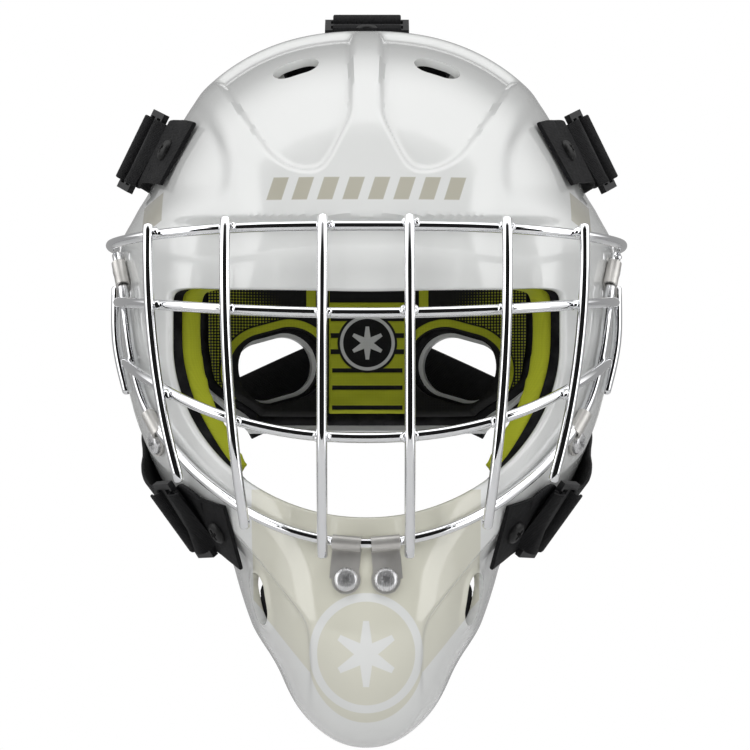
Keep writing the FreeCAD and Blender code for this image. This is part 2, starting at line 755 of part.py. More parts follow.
def back_layer(gap, sheet, half_width, top_z, bottom_z, columns=25, rows=15):
    """A layer inside the head form at the back. half_width gives its extent at z."""
    front, back = [], []
    for j in range(rows):
        z = mix(top_z, bottom_z, j / (rows - 1.0))
        ways = [back_direction(half_width(z) * (2.0 * k / (columns - 1.0) - 1.0), z) for k in range(columns)]
        back.append([form(d) - normal(d) * gap for d in ways])
        front.append([form(d) - normal(d) * (gap + sheet) for d in ways])
    return slab(front, back)


def plate_vents(grow):
    """The two big vents in the back plate."""
    length, width = PLATE_VENT
    return [
        oval_cutter(back_direction(s * 55.0, -6.0), length + grow, width + grow, Vector(1, 0, s * -0.28))
        for s in (-1, 1)
    ]


def wing_layer(side, gap):
    """The face pad on one wing of the back plate, beside the centre pad."""
    inner, top, bottom = CENTRE_PAD_HALF_WIDTH + 1.5, 96.0, -38.0
    front, back = [], []
    for j in range(13):
        z = mix(top, bottom, j / 12.0)
        outer = plate_half_width(z) - 2.5
        ways = [back_direction(side * mix(inner, outer, k / 12.0), z) for k in range(13)]
        back.append([form(d) - normal(d) * gap for d in ways])
        front.append([form(d) - normal(d) * (gap + FACE_PAD) for d in ways])
    return slab(front, back)


def rear_strap(side):
    """Webbing across the back of the plate, from the end of a lower strap to the middle."""
    start = back_direction(side * 75.0, -29.0)
    end = back_direction(side * 8.0, 0.0)
    lift = STRAP_SHEET / 2.0 + 0.2 - PLATE_GAP
    return band(*strap_run(start, end, lambda t: lift, 15), REAR_STRAP_WIDTH, STRAP_SHEET)


def rivet(x, z, lift):
    d = back_direction(x, z)
    n = normal(d)
    frame = plate_frame(form(d) + n * lift, Vector(0, 0, 1).cross(n), n)
    dome = Part.makeCylinder(4.5, 1.8).common(Part.makeSphere(7.0, Vector(0, 0, -5.2)))
    return placed(dome, frame)


def make_back_plate():
    foam_gap = PLATE_GAP + PLATE_SHEET + GLUE_LINE
    pad_gap = foam_gap + BASE_FOAM + GLUE_LINE
    plate = back_layer(PLATE_GAP, PLATE_SHEET, plate_half_width, PLATE_TOP_Z, PLATE_BOTTOM_Z)
    foam = back_layer(foam_gap, BASE_FOAM, lambda z: plate_half_width(z) - 2.0, 122.0, PLATE_BOTTOM_Z + 2.0)
    nodes = {
        "back_plate": plate.cut(plate_vents(-3.0)),
        "back_foam": foam.cut(plate_vents(1.0)),
        "back_pad_centre": back_layer(
            pad_gap, FACE_PAD, lambda z: CENTRE_PAD_HALF_WIDTH, 112.0, -37.0, columns=9),
    }
    for side, hand in ((-1, "left"), (1, "right")):
        nodes[f"back_pad_{hand}"] = wing_layer(side, pad_gap).cut(plate_vents(4.0))
        nodes[f"rear_strap_{hand}"] = rear_strap(side)
    on_strap = STRAP_SHEET + 0.3 - PLATE_GAP
    spots = [(0.0, 112.0), (-74.0, 76.0), (74.0, 76.0), (-13.0, 3.4), (13.0, 3.4)]
    nodes["strap_rivets"] = Part.makeCompound([rivet(x, z, on_strap + 0.6) for x, z in spots])
    return nodes


# ---------------------------------------------------------------- padding inside the shell


def lining(ways, gap, sheet):
    """A pad inside the shell over a grid of directions. Its outer face follows the shell's relief."""
    outer = [[skin(d, -SHELL_THICKNESS - gap) for d in row] for row in ways]
    inner = [[skin(d, -SHELL_THICKNESS - gap - sheet) for d in row] for row in ways]
    return slab(inner, outer)


def cheek_ways(side, last_angle):
    """Down the side of the eye opening, from above its top corner round to beside the mouth."""
    rows = []
    for j in range(15):
        angle = math.radians(mix(69.0, last_angle, j / 14.0))
        rows.append([shell_direction(side * angle, mix(0.03, 0.40, k / 8.0)) for k in range(9)])
    return rows


def brow_ways():
    return [[front_direction(mix(-84.0, 84.0, k / 20.0), z) for k in range(21)] for z in (
        102.0, 95.0, 88.0, 81.0, 74.0)]


def crown_ways():
    return [[top_direction(mix(-46.0, 46.0, k / 12.0), mix(-44.0, 40.0, j / 10.0)) for k in range(13)]
            for j in range(11)]


def temple_ways(side):
    return [[side_direction(mix(-52.0, 30.0, k / 10.0), mix(100.0, 46.0, j / 8.0), side) for k in range(11)]
            for j in range(9)]


def jaw_ways(side):
    rows = []
    for j in range(9):
        angle = math.radians(mix(143.0, 158.0, j / 8.0))
        rows.append([shell_direction(side * angle, mix(0.42, 0.90, k / 8.0)) for k in range(9)])
    return rows


def make_padding():
    deep = PAD_CLEARANCE + SCOOP_DEPTH
    nodes = {
        "sweatband": lining(brow_ways(), deep, SWEATBAND),
        "crown_pad": lining(crown_ways(), deep, CROWN_PAD),
    }
    for side, hand in ((-1, "left"), (1, "right")):
        foam = lining(cheek_ways(side, 141.0), PAD_CLEARANCE, CHEEK_FOAM)
        nodes[f"cheek_foam_{hand}"] = foam.cut(nut_pockets())
        nodes[f"cheek_liner_{hand}"] = lining(
            cheek_ways(side, 128.0), PAD_CLEARANCE + CHEEK_FOAM + GLUE_LINE, CHEEK_LINER)
        nodes[f"temple_pad_{hand}"] = lining(temple_ways(side), deep, SWEATBAND)
        nodes[f"jaw_pad_{hand}"] = lining(jaw_ways(side), PAD_CLEARANCE, JAW_PAD)
    return nodes


# ---------------------------------------------------------------- chin sling


def chin_cup():
    """A dished patch under the chin, tipped up at the front."""
    tip = FreeCAD.Rotation(Vector(1, 0, 0), -25.0)
    grids = []
    for sheet in (0.0, CUP_SHEET):
        rx, ry, rz = [r - sheet for r in CUP_RADII]
        grid = []
        for j in range(9):
            row = [unit(Vector(1.5 * (k / 5.0 - 1.0), 1.3 * (j / 4.0 - 1.0), -1.0)) for k in range(11)]
            grid.append([CUP_CENTRE + tip.multVec(Vector(d.x * rx, d.y * ry, d.z * rz)) for d in row])
        grids.append(grid)
    return slab(*grids)


def chin_strap(side):
    """Webbing from the side of the cup up to its snap inside the jaw."""
    start = CUP_CENTRE + Vector(side * (CUP_RADII[0] * 0.83 + 1.4), 4.0, -9.0)
    end = Vector(side * CHIN_PIVOT.x, CHIN_PIVOT.y, CHIN_PIVOT.z)
    ahead = unit(end - start)
    across = unit(Vector(0, 0.5, -1) - ahead * ahead.dot(Vector(0, 0.5, -1)))
    outward = ahead.cross(across) * float(side)
    centres = [start + (end - start) * (k / 6.0) for k in range(7)]
    return band(centres, [across] * 7, [outward] * 7, 16.0, STRAP_SHEET)


def chin_snap(side):
    """The snap button that the sling turns on, between the strap and the shell. Its axis is along X."""
    inner, outer = SNAP_SPAN
    foot = Vector(side * inner, CHIN_PIVOT.y, CHIN_PIVOT.z)
    return Part.makeCylinder(SNAP_RADIUS, outer - inner, foot, Vector(side, 0, 0))


def make_chin_sling():
    nodes = {"chin_cup": chin_cup(), "chin_snaps": Part.makeCompound([chin_snap(s) for s in (-1, 1)])}
    for side, hand in ((-1, "left"), (1, "right")):
        nodes[f"chin_strap_{hand}"] = chin_strap(side)
    return nodes


# ---------------------------------------------------------------- output


def build():
    nodes = {"mask_shell": make_shell()}
    nodes.update(make_cage())
    nodes.update(make_clips())
    nodes.update(make_harness())
    nodes.update(make_back_plate())
    nodes.update(make_padding())
    nodes.update(make_chin_sling())
    return nodes


def main():
    os.makedirs("parts", exist_ok=True)
    for name, shape in build().items():
        box = shape.BoundBox
        print(name, shape.ShapeType, len(shape.Solids), shape.isValid(), round(shape.Volume),
              [round(v, 1) for v in (box.XMin, box.XMax, box.YMin, box.YMax, box.ZMin, box.ZMax)])
        shape.exportStep(f"parts/{name}.step")


main()
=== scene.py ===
"""Looks of the goalie mask: fine shell, webbing, padding, fasteners, materials, light and camera.

Lengths in the geometry helpers are millimetres in the CAD's frame. The mesh helpers turn them into metres.
"""

import math

import bpy
import numpy as np
from mathutils import Matrix, Vector


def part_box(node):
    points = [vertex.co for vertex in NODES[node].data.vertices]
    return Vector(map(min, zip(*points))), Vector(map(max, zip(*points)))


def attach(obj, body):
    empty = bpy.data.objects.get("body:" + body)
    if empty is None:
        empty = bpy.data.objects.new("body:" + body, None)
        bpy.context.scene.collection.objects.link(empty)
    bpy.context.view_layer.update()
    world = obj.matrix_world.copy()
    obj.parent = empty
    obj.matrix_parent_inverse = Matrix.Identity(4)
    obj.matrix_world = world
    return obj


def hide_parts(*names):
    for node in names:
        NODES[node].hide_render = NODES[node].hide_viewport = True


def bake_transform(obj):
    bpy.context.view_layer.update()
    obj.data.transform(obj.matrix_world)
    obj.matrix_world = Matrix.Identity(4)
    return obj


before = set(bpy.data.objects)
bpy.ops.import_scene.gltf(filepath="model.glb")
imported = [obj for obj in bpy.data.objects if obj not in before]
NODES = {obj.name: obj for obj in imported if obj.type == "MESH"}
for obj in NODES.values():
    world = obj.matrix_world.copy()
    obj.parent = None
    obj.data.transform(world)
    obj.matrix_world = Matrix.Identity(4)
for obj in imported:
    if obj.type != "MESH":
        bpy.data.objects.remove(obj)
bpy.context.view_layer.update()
MASK, PLATE, SLING = "mask", "back_plate_group", "chin_sling"
FINE = 2

# ---------------------------------------------------------------- the head form, as in the CAD source

HALF_WIDTH, FRONT_REACH, BACK_REACH = 121.0, 133.0, 128.0
CROWN_HEIGHT, CHIN_DEPTH = 160.0, 181.5
PLAN_POWER, CROWN_POWER, CHIN_POWER = 2.3, 2.35, 2.0
CHIN_SLOPE, CHIN_START = 0.62, 38.0
SHELL = 4.0
REAR_TOP, REAR_CHIN = 115.5, 83.5
EYE_Z, EYE_HALF, EYE_RISE, EYE_DROP = 5.0, 93.0, 28.0, 78.2
SCOOP_DEPTH, SCOOP_INNER, SCOOP_FOOT = 4.0, 6.8, 85.5
SCOOP_SIDE = ((46.4, 96.0), (69.4, 129.4))
BROW_LEDGE, BROW_RECESS = 65.0, 9.0
STRAP_WIDTH, STRAP_SHEET, TAB_SHEET = 34.0, 1.6, 2.0
BUCKLE_LENGTH = 14.0
CHIN_PIVOT, CUP_CENTRE = (58.4, -70.0, -82.0), np.array([0.0, -90.0, -96.0])
CUP_RADII = (36.0, 27.0, 22.0)
BUCKLE_TILT = {"top": 38.0, "upper": 28.0, "lower": 14.0}
PLATE_GAP, PLATE_SHEET, BASE_FOAM, FACE_PAD = 7.0, 3.0, 6.0, 6.0
PLATE_TOP, PLATE_BOTTOM = 128.0, -42.0
VENT = (47.0, 33.0)
GLUE_LINE, CENTRE_PAD_HALF = 0.4, 27.0
PAD_CLEARANCE, CHEEK_FOAM, CHEEK_LINER = 0.6, 8.5, 10.5


def step(v, low, high):
    t = np.clip((v - low) / (high - low), 0.0, 1.0)
    return t * t * (3.0 - 2.0 * t)


def mix(a, b, t):
    return a + (b - a) * t


def soft_min(a, b, blend):
    h = np.clip(0.5 + 0.5 * (b - a) / blend, 0.0, 1.0)
    return mix(b, a, h) - blend * h * (1.0 - h)


def unit(v):
    return v / np.maximum(np.linalg.norm(v, axis=-1, keepdims=True), 1e-12)


def pack(x, y, z):
    return np.stack(np.broadcast_arrays(x, y, z), -1).astype(float)


def jaw_scale(z):
    ear = 0.07 * step(-z, -15.0, 45.0)
    jaw = 0.15 * step(-z, 25.0, 100.0) + 0.13 * step(-z, 60.0, 102.0)
    return 1.0 - ear - jaw - 0.05 * step(-z, 125.0, 150.0)


def chin_push(z):
    below = -z - CHIN_START
    return CHIN_SLOPE * (np.hypot(below, 20.0) + below) / 2.0


def height_share(z):
    z = np.asarray(z, float)
    up = 1.0 - np.clip(z / CROWN_HEIGHT, 0, 1) ** CROWN_POWER
    down = 1.0 - np.clip(-z / CHIN_DEPTH, 0, 1) ** CHIN_POWER
    return np.where(z > 0, up ** (1.0 / CROWN_POWER), down ** (1.0 / CHIN_POWER))


def plan_rest(z, share):
    """What is left of the plan's sum at height z once one axis has taken its share."""
    return np.maximum(1e-9, height_share(z) ** PLAN_POWER - share**PLAN_POWER) ** (1.0 / PLAN_POWER)


def front_direction(x, z):
    plain = np.abs(x) / jaw_scale(z)
    return pack(np.sign(x) * plain, -FRONT_REACH * plan_rest(z, plain / HALF_WIDTH), z)


def side_direction(y, z, side):
    plain = y + chin_push(z)
    reach = np.where(plain < 0, FRONT_REACH, BACK_REACH)
    return pack(side * HALF_WIDTH * plan_rest(z, np.abs(plain) / reach), plain, z)


def back_direction(x, z):
    return pack(x, BACK_REACH * plan_rest(z, np.abs(x) / HALF_WIDTH), z)


def top_direction(x, y):
    reach = np.where(np.asarray(y) < 0, FRONT_REACH, BACK_REACH)
    plan = (np.abs(x) / HALF_WIDTH) ** PLAN_POWER + (np.abs(y) / reach) ** PLAN_POWER
    return pack(x, y, CROWN_HEIGHT * (1.0 - plan ** (CROWN_POWER / PLAN_POWER)) ** (1.0 / CROWN_POWER))


def form(d):
    x, y, z = d[..., 0], d[..., 1], d[..., 2]
    reach = np.where(y < 0, FRONT_REACH, BACK_REACH)
    plan = (np.abs(x) / HALF_WIDTH) ** PLAN_POWER + (np.abs(y) / reach) ** PLAN_POWER
    up = z > 0
    height = np.where(up, CROWN_HEIGHT, CHIN_DEPTH)
    power = np.where(up, CROWN_POWER, CHIN_POWER)
    scale = (plan ** (power / PLAN_POWER) + (np.abs(z) / height) ** power) ** (-1.0 / power)
    px, py, pz = x * scale, y * scale, z * scale
    return pack(px * jaw_scale(pz), py - chin_push(pz), pz)


def normal(d):
    d = unit(d)
    helper = np.where(np.abs(d[..., 2:3]) < 0.9, np.array([0.0, 0.0, 1.0]), np.array([0.0, 1.0, 0.0]))
    side = unit(np.cross(d, helper))
    up = np.cross(side, d)
    span = 0.004
    across = form(d + side * span) - form(d - side * span)
    along = form(d + up * span) - form(d - up * span)
    n = unit(np.cross(across, along))
    return n * np.sign(np.sum(n * d, -1, keepdims=True))


def scoop_inside(x, z):
    """How far a forehead point is inside a scoop's outline."""
    inner_edge = SCOOP_INNER + 9.0 * step(-z, -118.0, -90.0)
    (low_x, low_z), (high_x, high_z) = SCOOP_SIDE
    run, rise = high_x - low_x, high_z - low_z
    from_side = ((low_x - x) * rise + (z - low_z) * run) / math.hypot(run, rise)
    return soft_min(soft_min(x - inner_edge, from_side, 10.0), z - SCOOP_FOOT, 14.0)


def relief(p):
    """The CAD's relief, with crisper edges, and lips round the vents."""
    x, y, z = np.abs(p[..., 0]), p[..., 1], p[..., 2]
    scoop = -SCOOP_DEPTH * step(scoop_inside(x, z), -1.3, 2.4) * step(-y, 28.0, 36.0)
    edge = 60.0 + 19.0 * step(z, 88.0, 140.0)
    recess = -3.5 * step(x - edge, -1.0, 11.0) * step(z, 66.0, 84.0) * (1.0 - step(z, 100.0, 140.0))
    flare = 3.0 * step(x, 90.0, 115.0) * step(z, 30.0, 52.0) * (1.0 - step(z, 56.0, 70.0))
    temple = (recess + flare) * step(-y, -60.0, -20.0)
    band = step(BROW_LEDGE - z, 0.0, 3.5) * step(z, -35.0, 20.0)
    brow = -BROW_RECESS * band * (1.0 - step(x, 66.0, 92.0)) * step(-y, 20.0, 60.0)
    above = z + 119.0
    crease = 25.0 + (np.hypot(above, 6.0) + above) * 0.46
    reach = step(x, 12.0, 24.0) * (1.0 - step(z, -92.0, -74.0)) * step(z, -166.0, -138.0)
    chin = -2.5 * step(x - crease, -1.8, 2.6) * reach
    upper = np.where(z > 15.0, scoop + temple + brow, brow)
    return np.where(z > -60.0, upper, chin + vent_lip(x, y, z))


def vent_lip(x, y, z):
    """A rounded lip round each chin vent."""
    rel = pack(x, y, z) - VENT_AT
    run = (CHIN_VENT[0] - CHIN_VENT[1]) / 2
    away = np.hypot(np.maximum(np.abs(rel @ VENT_ALONG) - run, 0), rel @ VENT_ACROSS) - CHIN_VENT[1] / 2
    return 1.1 * step(away, -3.0, 0.0) * (1.0 - step(away, 1.2, 4.2)) * step(x, 20.0, 30.0)


def skin(d, lift=0.0):
    p = form(d)
    return p + normal(d) * (relief(p) + lift)[..., None]


def arc(start, end, share):
    """Unit directions at a share of the way round from start to end."""
    start, end = unit(start), unit(end)
    spread = np.arccos(np.clip(np.sum(start * end, -1, keepdims=True), -1, 1))
    share = np.asarray(share, float)[..., None]
    return (start * np.sin((1 - share) * spread) + end * np.sin(share * spread)) / np.sin(spread)


def eye_outline(angle):
    s, c = np.sin(angle), np.cos(angle)
    reach = np.where(c > 0, EYE_RISE, EYE_DROP)
    power = np.where(c > 0, 16.0, 2.0)
    r = (np.abs(s / EYE_HALF) ** power + np.abs(c / reach) ** power) ** (-1.0 / power)
    return r * s, EYE_Z + r * c


def rear_direction(angle):
    from_top = np.abs((angle + math.pi) % (2.0 * math.pi) - math.pi)
    drop = step(np.degrees(from_top), 78.0, 150.0)
    v = np.radians(mix(REAR_TOP, REAR_CHIN, drop))
    return pack(np.sin(v) * np.sin(angle), -np.cos(v), np.sin(v) * np.cos(angle))


def shell_direction(angle, share):
    return arc(front_direction(*eye_outline(angle)), rear_direction(angle), share)


CHIN_VENT = (23.0, 15.5)
CHIN_VENT_WAY = front_direction(51.0, -111.0)
VENT_AT, VENT_NORMAL = form(CHIN_VENT_WAY), normal(CHIN_VENT_WAY)
VENT_ALONG = np.array([-0.25, 0.0, -1.0])
VENT_ALONG = unit(VENT_ALONG - VENT_NORMAL * np.dot(VENT_ALONG, VENT_NORMAL))
VENT_ACROSS = np.cross(VENT_NORMAL, VENT_ALONG)


# ---------------------------------------------------------------- mesh helpers


def new_object(name, vertices, faces, uvs=None):
    """A smooth mesh object from millimetres. uvs are millimetres too, one per vertex."""
    mesh = bpy.data.meshes.new(name)
    mesh.from_pydata((np.asarray(vertices, float) / 1000.0).tolist(), [], faces)
    mesh.polygons.foreach_set("use_smooth", [True] * len(mesh.polygons))
    if uvs is not None:
        loops = np.empty(len(mesh.loops), int)
        mesh.loops.foreach_get("vertex_index", loops)
        layer = mesh.uv_layers.new(name="weave")
        layer.data.foreach_set("uv", (np.asarray(uvs, float)[loops] / 1000.0).ravel())
    mesh.update()
    o = bpy.data.objects.new(name, mesh)
    bpy.context.scene.collection.objects.link(o)
    return o


def grid_faces(rows, columns, close_rows=False, close_columns=False, start=0):
    r = np.arange(rows if close_rows else rows - 1)
    c = np.arange(columns if close_columns else columns - 1)
    r, c = np.meshgrid(r, c, indexing="ij")
    r2, c2 = (r + 1) % rows, (c + 1) % columns
    quads = np.stack([r * columns + c, r * columns + c2, r2 * columns + c2, r2 * columns + c], -1)
    return (quads.reshape(-1, 4) + start).tolist()


def outward(o):
    """Turns the faces of a closed mesh outwards."""
    o.data.update()
    co = np.empty(len(o.data.vertices) * 3)
    o.data.vertices.foreach_get("co", co)
    co = co.reshape(-1, 3)
    o.data.calc_loop_triangles()
    tri = np.empty(len(o.data.loop_triangles) * 3, int)
    o.data.loop_triangles.foreach_get("vertices", tri)
    a, b, c = (co[tri.reshape(-1, 3)[:, k]] for k in range(3))
    if np.sum(a * np.cross(b, c)) < 0:
        o.data.flip_normals()
    return o


def apply_modifiers(o):
    depsgraph = bpy.context.evaluated_depsgraph_get()
    mesh = bpy.data.meshes.new_from_object(o.evaluated_get(depsgraph))
    o.modifiers.clear()
    o.data = mesh
    return o


def cut(o, cutters):
    """Cuts closed meshes out of o."""
    for cutter in cutters:
        m = o.modifiers.new("cut", "BOOLEAN")
        m.operation, m.solver, m.object = "DIFFERENCE", "EXACT", cutter
    apply_modifiers(o)
    for cutter in cutters:
        bpy.data.objects.remove(cutter, do_unlink=True)
    return o


def smooth_by_angle(o, degrees=35.0):
    o.data.polygons.foreach_set("use_smooth", [True] * len(o.data.polygons))
    o.data.set_sharp_from_angle(angle=math.radians(degrees))
    return o


def stadium_cutter(name, at, long_axis, n, long_side, short_side, depth=30.0, flare=0.0):
    """A closed stadium-shaped prism through a surface point, wider outside by flare."""
    n = unit(n)
    x = unit(long_axis - n * np.dot(long_axis, n))
    y = np.cross(n, x)
    run, r = (long_side - short_side) / 2.0, short_side / 2.0
    turns = np.linspace(0, 2 * math.pi, 48, endpoint=False)
    ring = []
    for level in (-depth, -2.5, 1.2, depth):
        grow = flare * step(np.array(level), -2.5, 1.2) + (flare * 2.0 if level > 5 else 0.0)
        xs = np.sign(np.cos(turns)) * run + (r + grow) * np.cos(turns)
        ys = (r + grow) * np.sin(turns)
        ring.append(at + xs[:, None] * x + ys[:, None] * y + n * level)
    points = np.concatenate(ring)
    faces = grid_faces(4, 48, close_columns=True)
    faces += [list(range(47, -1, -1)), list(range(144, 192))]
    return outward(new_object(name, points, faces))


def pillow(name, ways, size, gap, thickness, rounding=3.0, crown=0.0, corners=0.1, followed=True, seams=(),
           hole=None, n=26 * FINE):
    """A padded piece between two lifts inside the head form.

    ways(a, b) gives directions for a and b from -1 to 1, and size is the pad's extent that way in millimetres.
    seams are (axis, position, depth) of sewn channels, with axis 0 for a and 1 for b. hole gives the distance of
    points from the edge of a hole, near which the pad thins.
    """
    t = np.linspace(-1, 1, n)
    t = np.sign(t) * (1 - (1 - np.abs(t)) ** 1.6)
    a, b = np.meshgrid(t, t, indexing="ij")
    inset = np.minimum((1 - np.abs(a)) * size[0] / 2, (1 - np.abs(b)) * size[1] / 2)
    edge = np.clip(inset / rounding, 0, 1)
    swell = (1 - (1 - edge) ** 2.4) ** (1 / 2.4)
    pa, pb = a * np.sqrt(1 - corners * b**2), b * np.sqrt(1 - corners * a**2)
    d = ways(pa, pb)
    base = form(d)
    if hole is not None:
        near = np.clip(hole(base) / rounding, 0, 1)
        swell = swell * (0.35 + 0.65 * (1 - (1 - near) ** 2.2) ** (1 / 2.2))
    bulge = crown * (1 - a**2) * (1 - b**2)
    for axis, position, depth in seams:
        away = ((a, b)[axis] - position) * size[axis] / 2
        bulge = bulge - depth * np.exp(-((away / 1.6) ** 2))
    nrm = normal(d)
    if followed:
        base = base + nrm * relief(base)[..., None]
    inner = base - nrm * (gap + thickness / 2 + swell * (thickness / 2 + bulge))[..., None]
    outer = base - nrm * (gap + thickness / 2 - swell * thickness / 2)[..., None]
    points = np.concatenate([inner.reshape(-1, 3), outer.reshape(-1, 3)])
    faces = grid_faces(n, n) + [f[::-1] for f in grid_faces(n, n, start=n * n)]
    uv = np.stack([pa * size[0] / 2, pb * size[1] / 2], -1).reshape(-1, 2)
    o = new_object(name, points, faces, np.concatenate([uv, uv]))
    weld = o.modifiers.new("weld", "WELD")
    weld.merge_threshold = 0.00002
    apply_modifiers(o)
    outward(o)
    return smooth_by_angle(o, 60.0)


def ribbon(name, path, across, width, sheet, rounded=0.7):
    """Webbing along a path. across holds a vector at each point, and the faces carry a weave map."""
    path, across = np.asarray(path, float), np.asarray(across, float)
    ahead = unit(np.gradient(path, axis=0))
    across = unit(across - ahead * np.sum(across * ahead, -1, keepdims=True))
    out = np.cross(ahead, across)
    half, thick = width / 2, sheet / 2
    outline = [(-half, 0), (-half + rounded * 0.3, thick * 0.75), (-half + rounded, thick)]
    outline += [(k * half / 4.0, thick) for k in (-3, -2, -1, 0, 1, 2, 3)]
    outline += [(half - rounded, thick), (half - rounded * 0.3, thick * 0.75), (half, 0)]
    outline += [(x, -y) for x, y in outline[::-1] if y > 0]
    outline = np.array(outline)
    rings = path[:, None] + across[:, None] * outline[None, :, :1] + out[:, None] * outline[None, :, 1:]
    count, around = len(path), len(outline)
    run = np.concatenate([[0.0], np.cumsum(np.linalg.norm(np.diff(path, axis=0), axis=1))])
    uv = np.stack(np.broadcast_arrays(run[:, None], outline[None, :, 0]), -1).reshape(-1, 2)
    faces = grid_faces(count, around, close_columns=True)
    faces += [list(range(around))[::-1], list(range((count - 1) * around, count * around))]
    o = outward(new_object(name, rings.reshape(-1, 3), faces, uv))
    return smooth_by_angle(o, 50.0)


def smooth_path(points, count):
    """A smooth run of count points through a few stations, by a cubic Hermite curve."""
    points = np.asarray(points, float)
    seg = np.linalg.norm(np.diff(points, axis=0), axis=1)
    knots = np.concatenate([[0.0], np.cumsum(np.maximum(seg, 1e-6) ** 0.5)])
    slopes = np.gradient(points, knots, axis=0)
    t = np.linspace(0, knots[-1], count)
    k = np.clip(np.searchsorted(knots, t, side="right") - 1, 0, len(knots) - 2)
    h = (knots[k + 1] - knots[k])[:, None]
    s = ((t - knots[k]) / h[:, 0])[:, None]
    p0, p1, m0, m1 = points[k], points[k + 1], slopes[k] * h, slopes[k + 1] * h
    return (
        p0 * (2 * s**3 - 3 * s**2 + 1) + m0 * (s**3 - 2 * s**2 + s) + p1 * (3 * s**2 - 2 * s**3) + m1 * (s**3 - s**2)
    )


def cad_points(node):
    mesh = NODES[node].data
    co = np.empty(len(mesh.vertices) * 3)
    mesh.vertices.foreach_get("co", co)
    return co.reshape(-1, 3) * 1000.0


def cad_islands(node):
    """The vertices of each separate solid of a CAD node."""
    mesh = NODES[node].data
    points = cad_points(node)
    _, weld = np.unique(np.round(points, 3), axis=0, return_inverse=True)
    weld = weld.ravel()
    parent = np.arange(weld.max() + 1)
    edges = np.empty(len(mesh.edges) * 2, int)
    mesh.edges.foreach_get("vertices", edges)
    edges = weld[edges.reshape(-1, 2)]
    while True:
        low = np.minimum(parent[edges[:, 0]], parent[edges[:, 1]])
        new = parent.copy()
        np.minimum.at(new, edges[:, 0], low)
        np.minimum.at(new, edges[:, 1], low)
        new = new[new]
        if np.array_equal(new, parent):
            break
        parent = new
    label = parent[weld]
    return [points[label == k] for k in np.unique(label)]


def axis_frame(points):
    """(foot, axis) of a headed fastener: foot is the centre of the head's underside, axis points out of the head."""
    points = np.unique(np.round(points, 3), axis=0)
    mean = points.mean(0)
    values, vectors = np.linalg.eigh(np.cov((points - mean).T))
    gaps = [min(abs(values[k] - values[j]) for j in range(3) if j != k) for k in range(3)]
    odd = int(np.argmax(gaps))
    axis = vectors[:, odd]
    along = (points - mean) @ axis
    radial = np.linalg.norm(points - mean - along[:, None] * axis, axis=1)
    wide = radial > radial.max() * 0.8
    if along[wide].mean() < along.mean():
        axis, along = -axis, -along
    return mean + axis * along[wide].min(), axis


def box_frame(node):
    """(centre, axes) of a box-like CAD node, its axes sorted from the longest extent to the shortest."""
    points = np.unique(np.round(cad_points(node), 3), axis=0)
    mean = points.mean(0)
    values, vectors = np.linalg.eigh(np.cov((points - mean).T))
    return mean, vectors[:, np.argsort(values)[::-1]].T


# ---------------------------------------------------------------- materials


